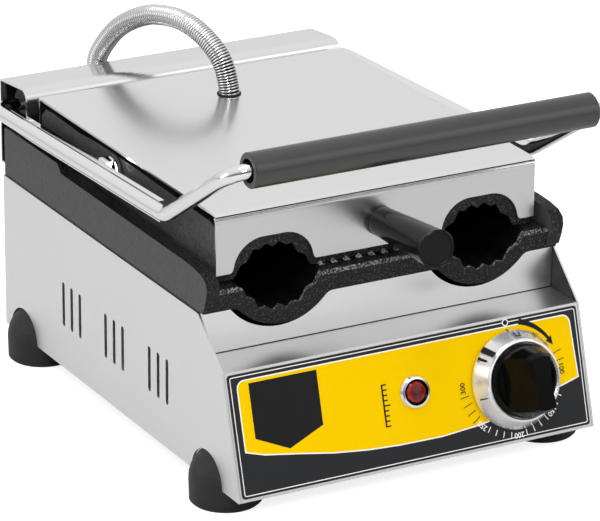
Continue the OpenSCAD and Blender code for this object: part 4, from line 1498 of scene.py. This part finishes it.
@dataclass(frozen=True)
class Camera:
    """A long lens from the front left, above the part."""

    yaw: float = 28.913
    elevation: float = 21.0915
    roll: float = 0.4088
    focal_px: float = 4070.788
    width_px: float = 600.0
    sensor_mm: float = 36.0
    position: Triple = (-1.2057805, -2.1986052, 1.0618721)

    def build(self) -> None:
        """Make the camera and set it as the scene's."""
        a, e, r = (math.radians(v) for v in (self.yaw, self.elevation, self.roll))
        ahead = Vector((math.sin(a) * math.cos(e), math.cos(a) * math.cos(e), -math.sin(e)))
        right = Vector((math.cos(a), -math.sin(a), 0))
        up = right.cross(ahead)
        across = math.cos(r) * right + math.sin(r) * up
        upright = -math.sin(r) * right + math.cos(r) * up
        data = bpy.data.cameras.new("camera")
        data.sensor_fit = "HORIZONTAL"
        data.sensor_width = self.sensor_mm
        data.lens = self.focal_px / self.width_px * self.sensor_mm
        data.clip_start = 0.1
        data.clip_end = 20.0
        camera = bpy.data.objects.new("camera", data)
        bpy.context.scene.collection.objects.link(camera)
        turn = Matrix((across, upright, -ahead)).transposed().to_4x4()
        camera.matrix_world = Matrix.Translation(self.position) @ turn
        bpy.context.scene.camera = camera


@dataclass
class Studio:
    """A studio: a world bright above and behind and dark in front, four soft boxes and a pale floor.

    Each soft box is its place in metres, its size in metres and its power in watts.
    """

    floor_size: float = 14.0
    floor_paint: str = "#d2d2d2"
    floor_glow: float = 0.8
    aim: Triple = (0.0, 0.0, 0.1)
    brightest: Triple = (0.0, 0.3, 0.954)
    sky: Stops = (
        (0.0, "#484848"), (0.44, "#707070"), (0.53, "#a0a0a0"), (0.62, "#dcdcdc"), (0.72, "#f2f2f2"),
        (1.0, "#ffffff"),
    )
    sky_strength: float = 0.95
    boxes: dict[str, tuple[Triple, float, float]] = field(default_factory=lambda: {
        "front_box": ((-1.1, -2.0, 1.5), 0.6, 21.0),
        "top_box": ((-0.3, -0.2, 1.9), 0.9, 12.0),
        "left_box": ((-2.2, 0.6, 0.8), 1.0, 7.5),
        "right_box": ((1.15, -2.0, 1.0), 1.5, 6.5),
    })

    def build(self) -> None:
        """Make the world, the lamps and the floor."""
        bpy.context.scene.view_settings.view_transform = "Standard"
        self.world()
        for name, (spot, size, watts) in self.boxes.items():
            self.soft_box(name, spot, size, watts)
        self.floor()

    def world(self) -> None:
        """Light from above and behind, dark ahead of the part at eye height, and white to the camera."""
        world = bpy.data.worlds.new("studio")
        bpy.context.scene.world = world
        world.use_nodes = True
        tree = world.node_tree
        tree.nodes.clear()
        coords = add_node(tree, "ShaderNodeTexCoord")
        lean = add_node(
            tree, "ShaderNodeVectorMath", {0: coords.outputs["Generated"]}, {1: self.brightest},
            operation="DOT_PRODUCT",
        )
        shade = ramp(tree, spread(tree, lean.outputs["Value"], -1.0, 1.0), self.sky)
        light = add_node(tree, "ShaderNodeBackground", {"Color": shade}, {"Strength": self.sky_strength})
        white = add_node(tree, "ShaderNodeBackground", None, {"Color": (1, 1, 1, 1), "Strength": 1.0})
        path = add_node(tree, "ShaderNodeLightPath")
        mixed = add_node(
            tree, "ShaderNodeMixShader",
            {"Fac": path.outputs["Is Camera Ray"], 1: light.outputs[0], 2: white.outputs[0]},
        )
        add_node(tree, "ShaderNodeOutputWorld", {"Surface": mixed.outputs[0]})

    def soft_box(self, name: str, spot: Triple, size: float, watts: float) -> None:
        """Hang one square soft box and aim it at the part's middle.

        Args:
            name: The box's name.
            spot: Where it hangs, in metres.
            size: Its side, in metres.
            watts: Its power.
        """
        lamp = bpy.data.lights.new(name, "AREA")
        lamp.size = size
        lamp.energy = watts
        holder = bpy.data.objects.new(name, lamp)
        holder.location = spot
        holder.rotation_euler = (Vector(self.aim) - Vector(spot)).to_track_quat("-Z", "Y").to_euler()
        bpy.context.scene.collection.objects.link(holder)

    def floor_material(self) -> bpy.types.Material:
        """Make the floor's flat pale paint, which glows to the camera alone.

        Returns:
            The material.
        """
        material = bpy.data.materials.new("studio_floor")
        material.use_nodes = True
        tree = material.node_tree
        tree.nodes.clear()
        paint = add_node(tree, "ShaderNodeBsdfDiffuse", None, {"Color": colour(self.floor_paint)}).outputs[0]
        glow = add_node(
            tree, "ShaderNodeEmission", None, {"Color": (1, 1, 1, 1), "Strength": self.floor_glow}
        ).outputs[0]
        lit = add_node(tree, "ShaderNodeAddShader", {0: paint, 1: glow}).outputs[0]
        path = add_node(tree, "ShaderNodeLightPath")
        seen = add_node(
            tree, "ShaderNodeMixShader", {"Fac": path.outputs["Is Camera Ray"], 1: paint, 2: lit}
        )
        add_node(tree, "ShaderNodeOutputMaterial", {"Surface": seen.outputs[0]})
        return material

    def floor(self) -> None:
        """Lay the pale floor; it is white to the camera except where the part shades it."""
        bm = bmesh.new()
        bmesh.ops.create_grid(bm, x_segments=1, y_segments=1, size=self.floor_size / 2)
        mesh = bpy.data.meshes.new("floor")
        bm.to_mesh(mesh)
        bm.free()
        mesh.materials.append(self.floor_material())
        floor = bpy.data.objects.new("floor", mesh)
        bpy.context.scene.collection.objects.link(floor)


# ------------------------------------------------------------------ all of it


def corners(box: Sequence[Vector]) -> list[list[float]]:
    """Return a box as plain lists of numbers."""
    return [list(map(float, corner)) for corner in box]


def main() -> None:
    """Build the camera, the studio and every piece."""
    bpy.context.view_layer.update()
    Camera().build()
    Studio().build()
    dress_frame()
    ControlFilm().build()
    StripWoundConduit().build()
    SkirtMarks().build()


if __name__ == "__main__":
    main()
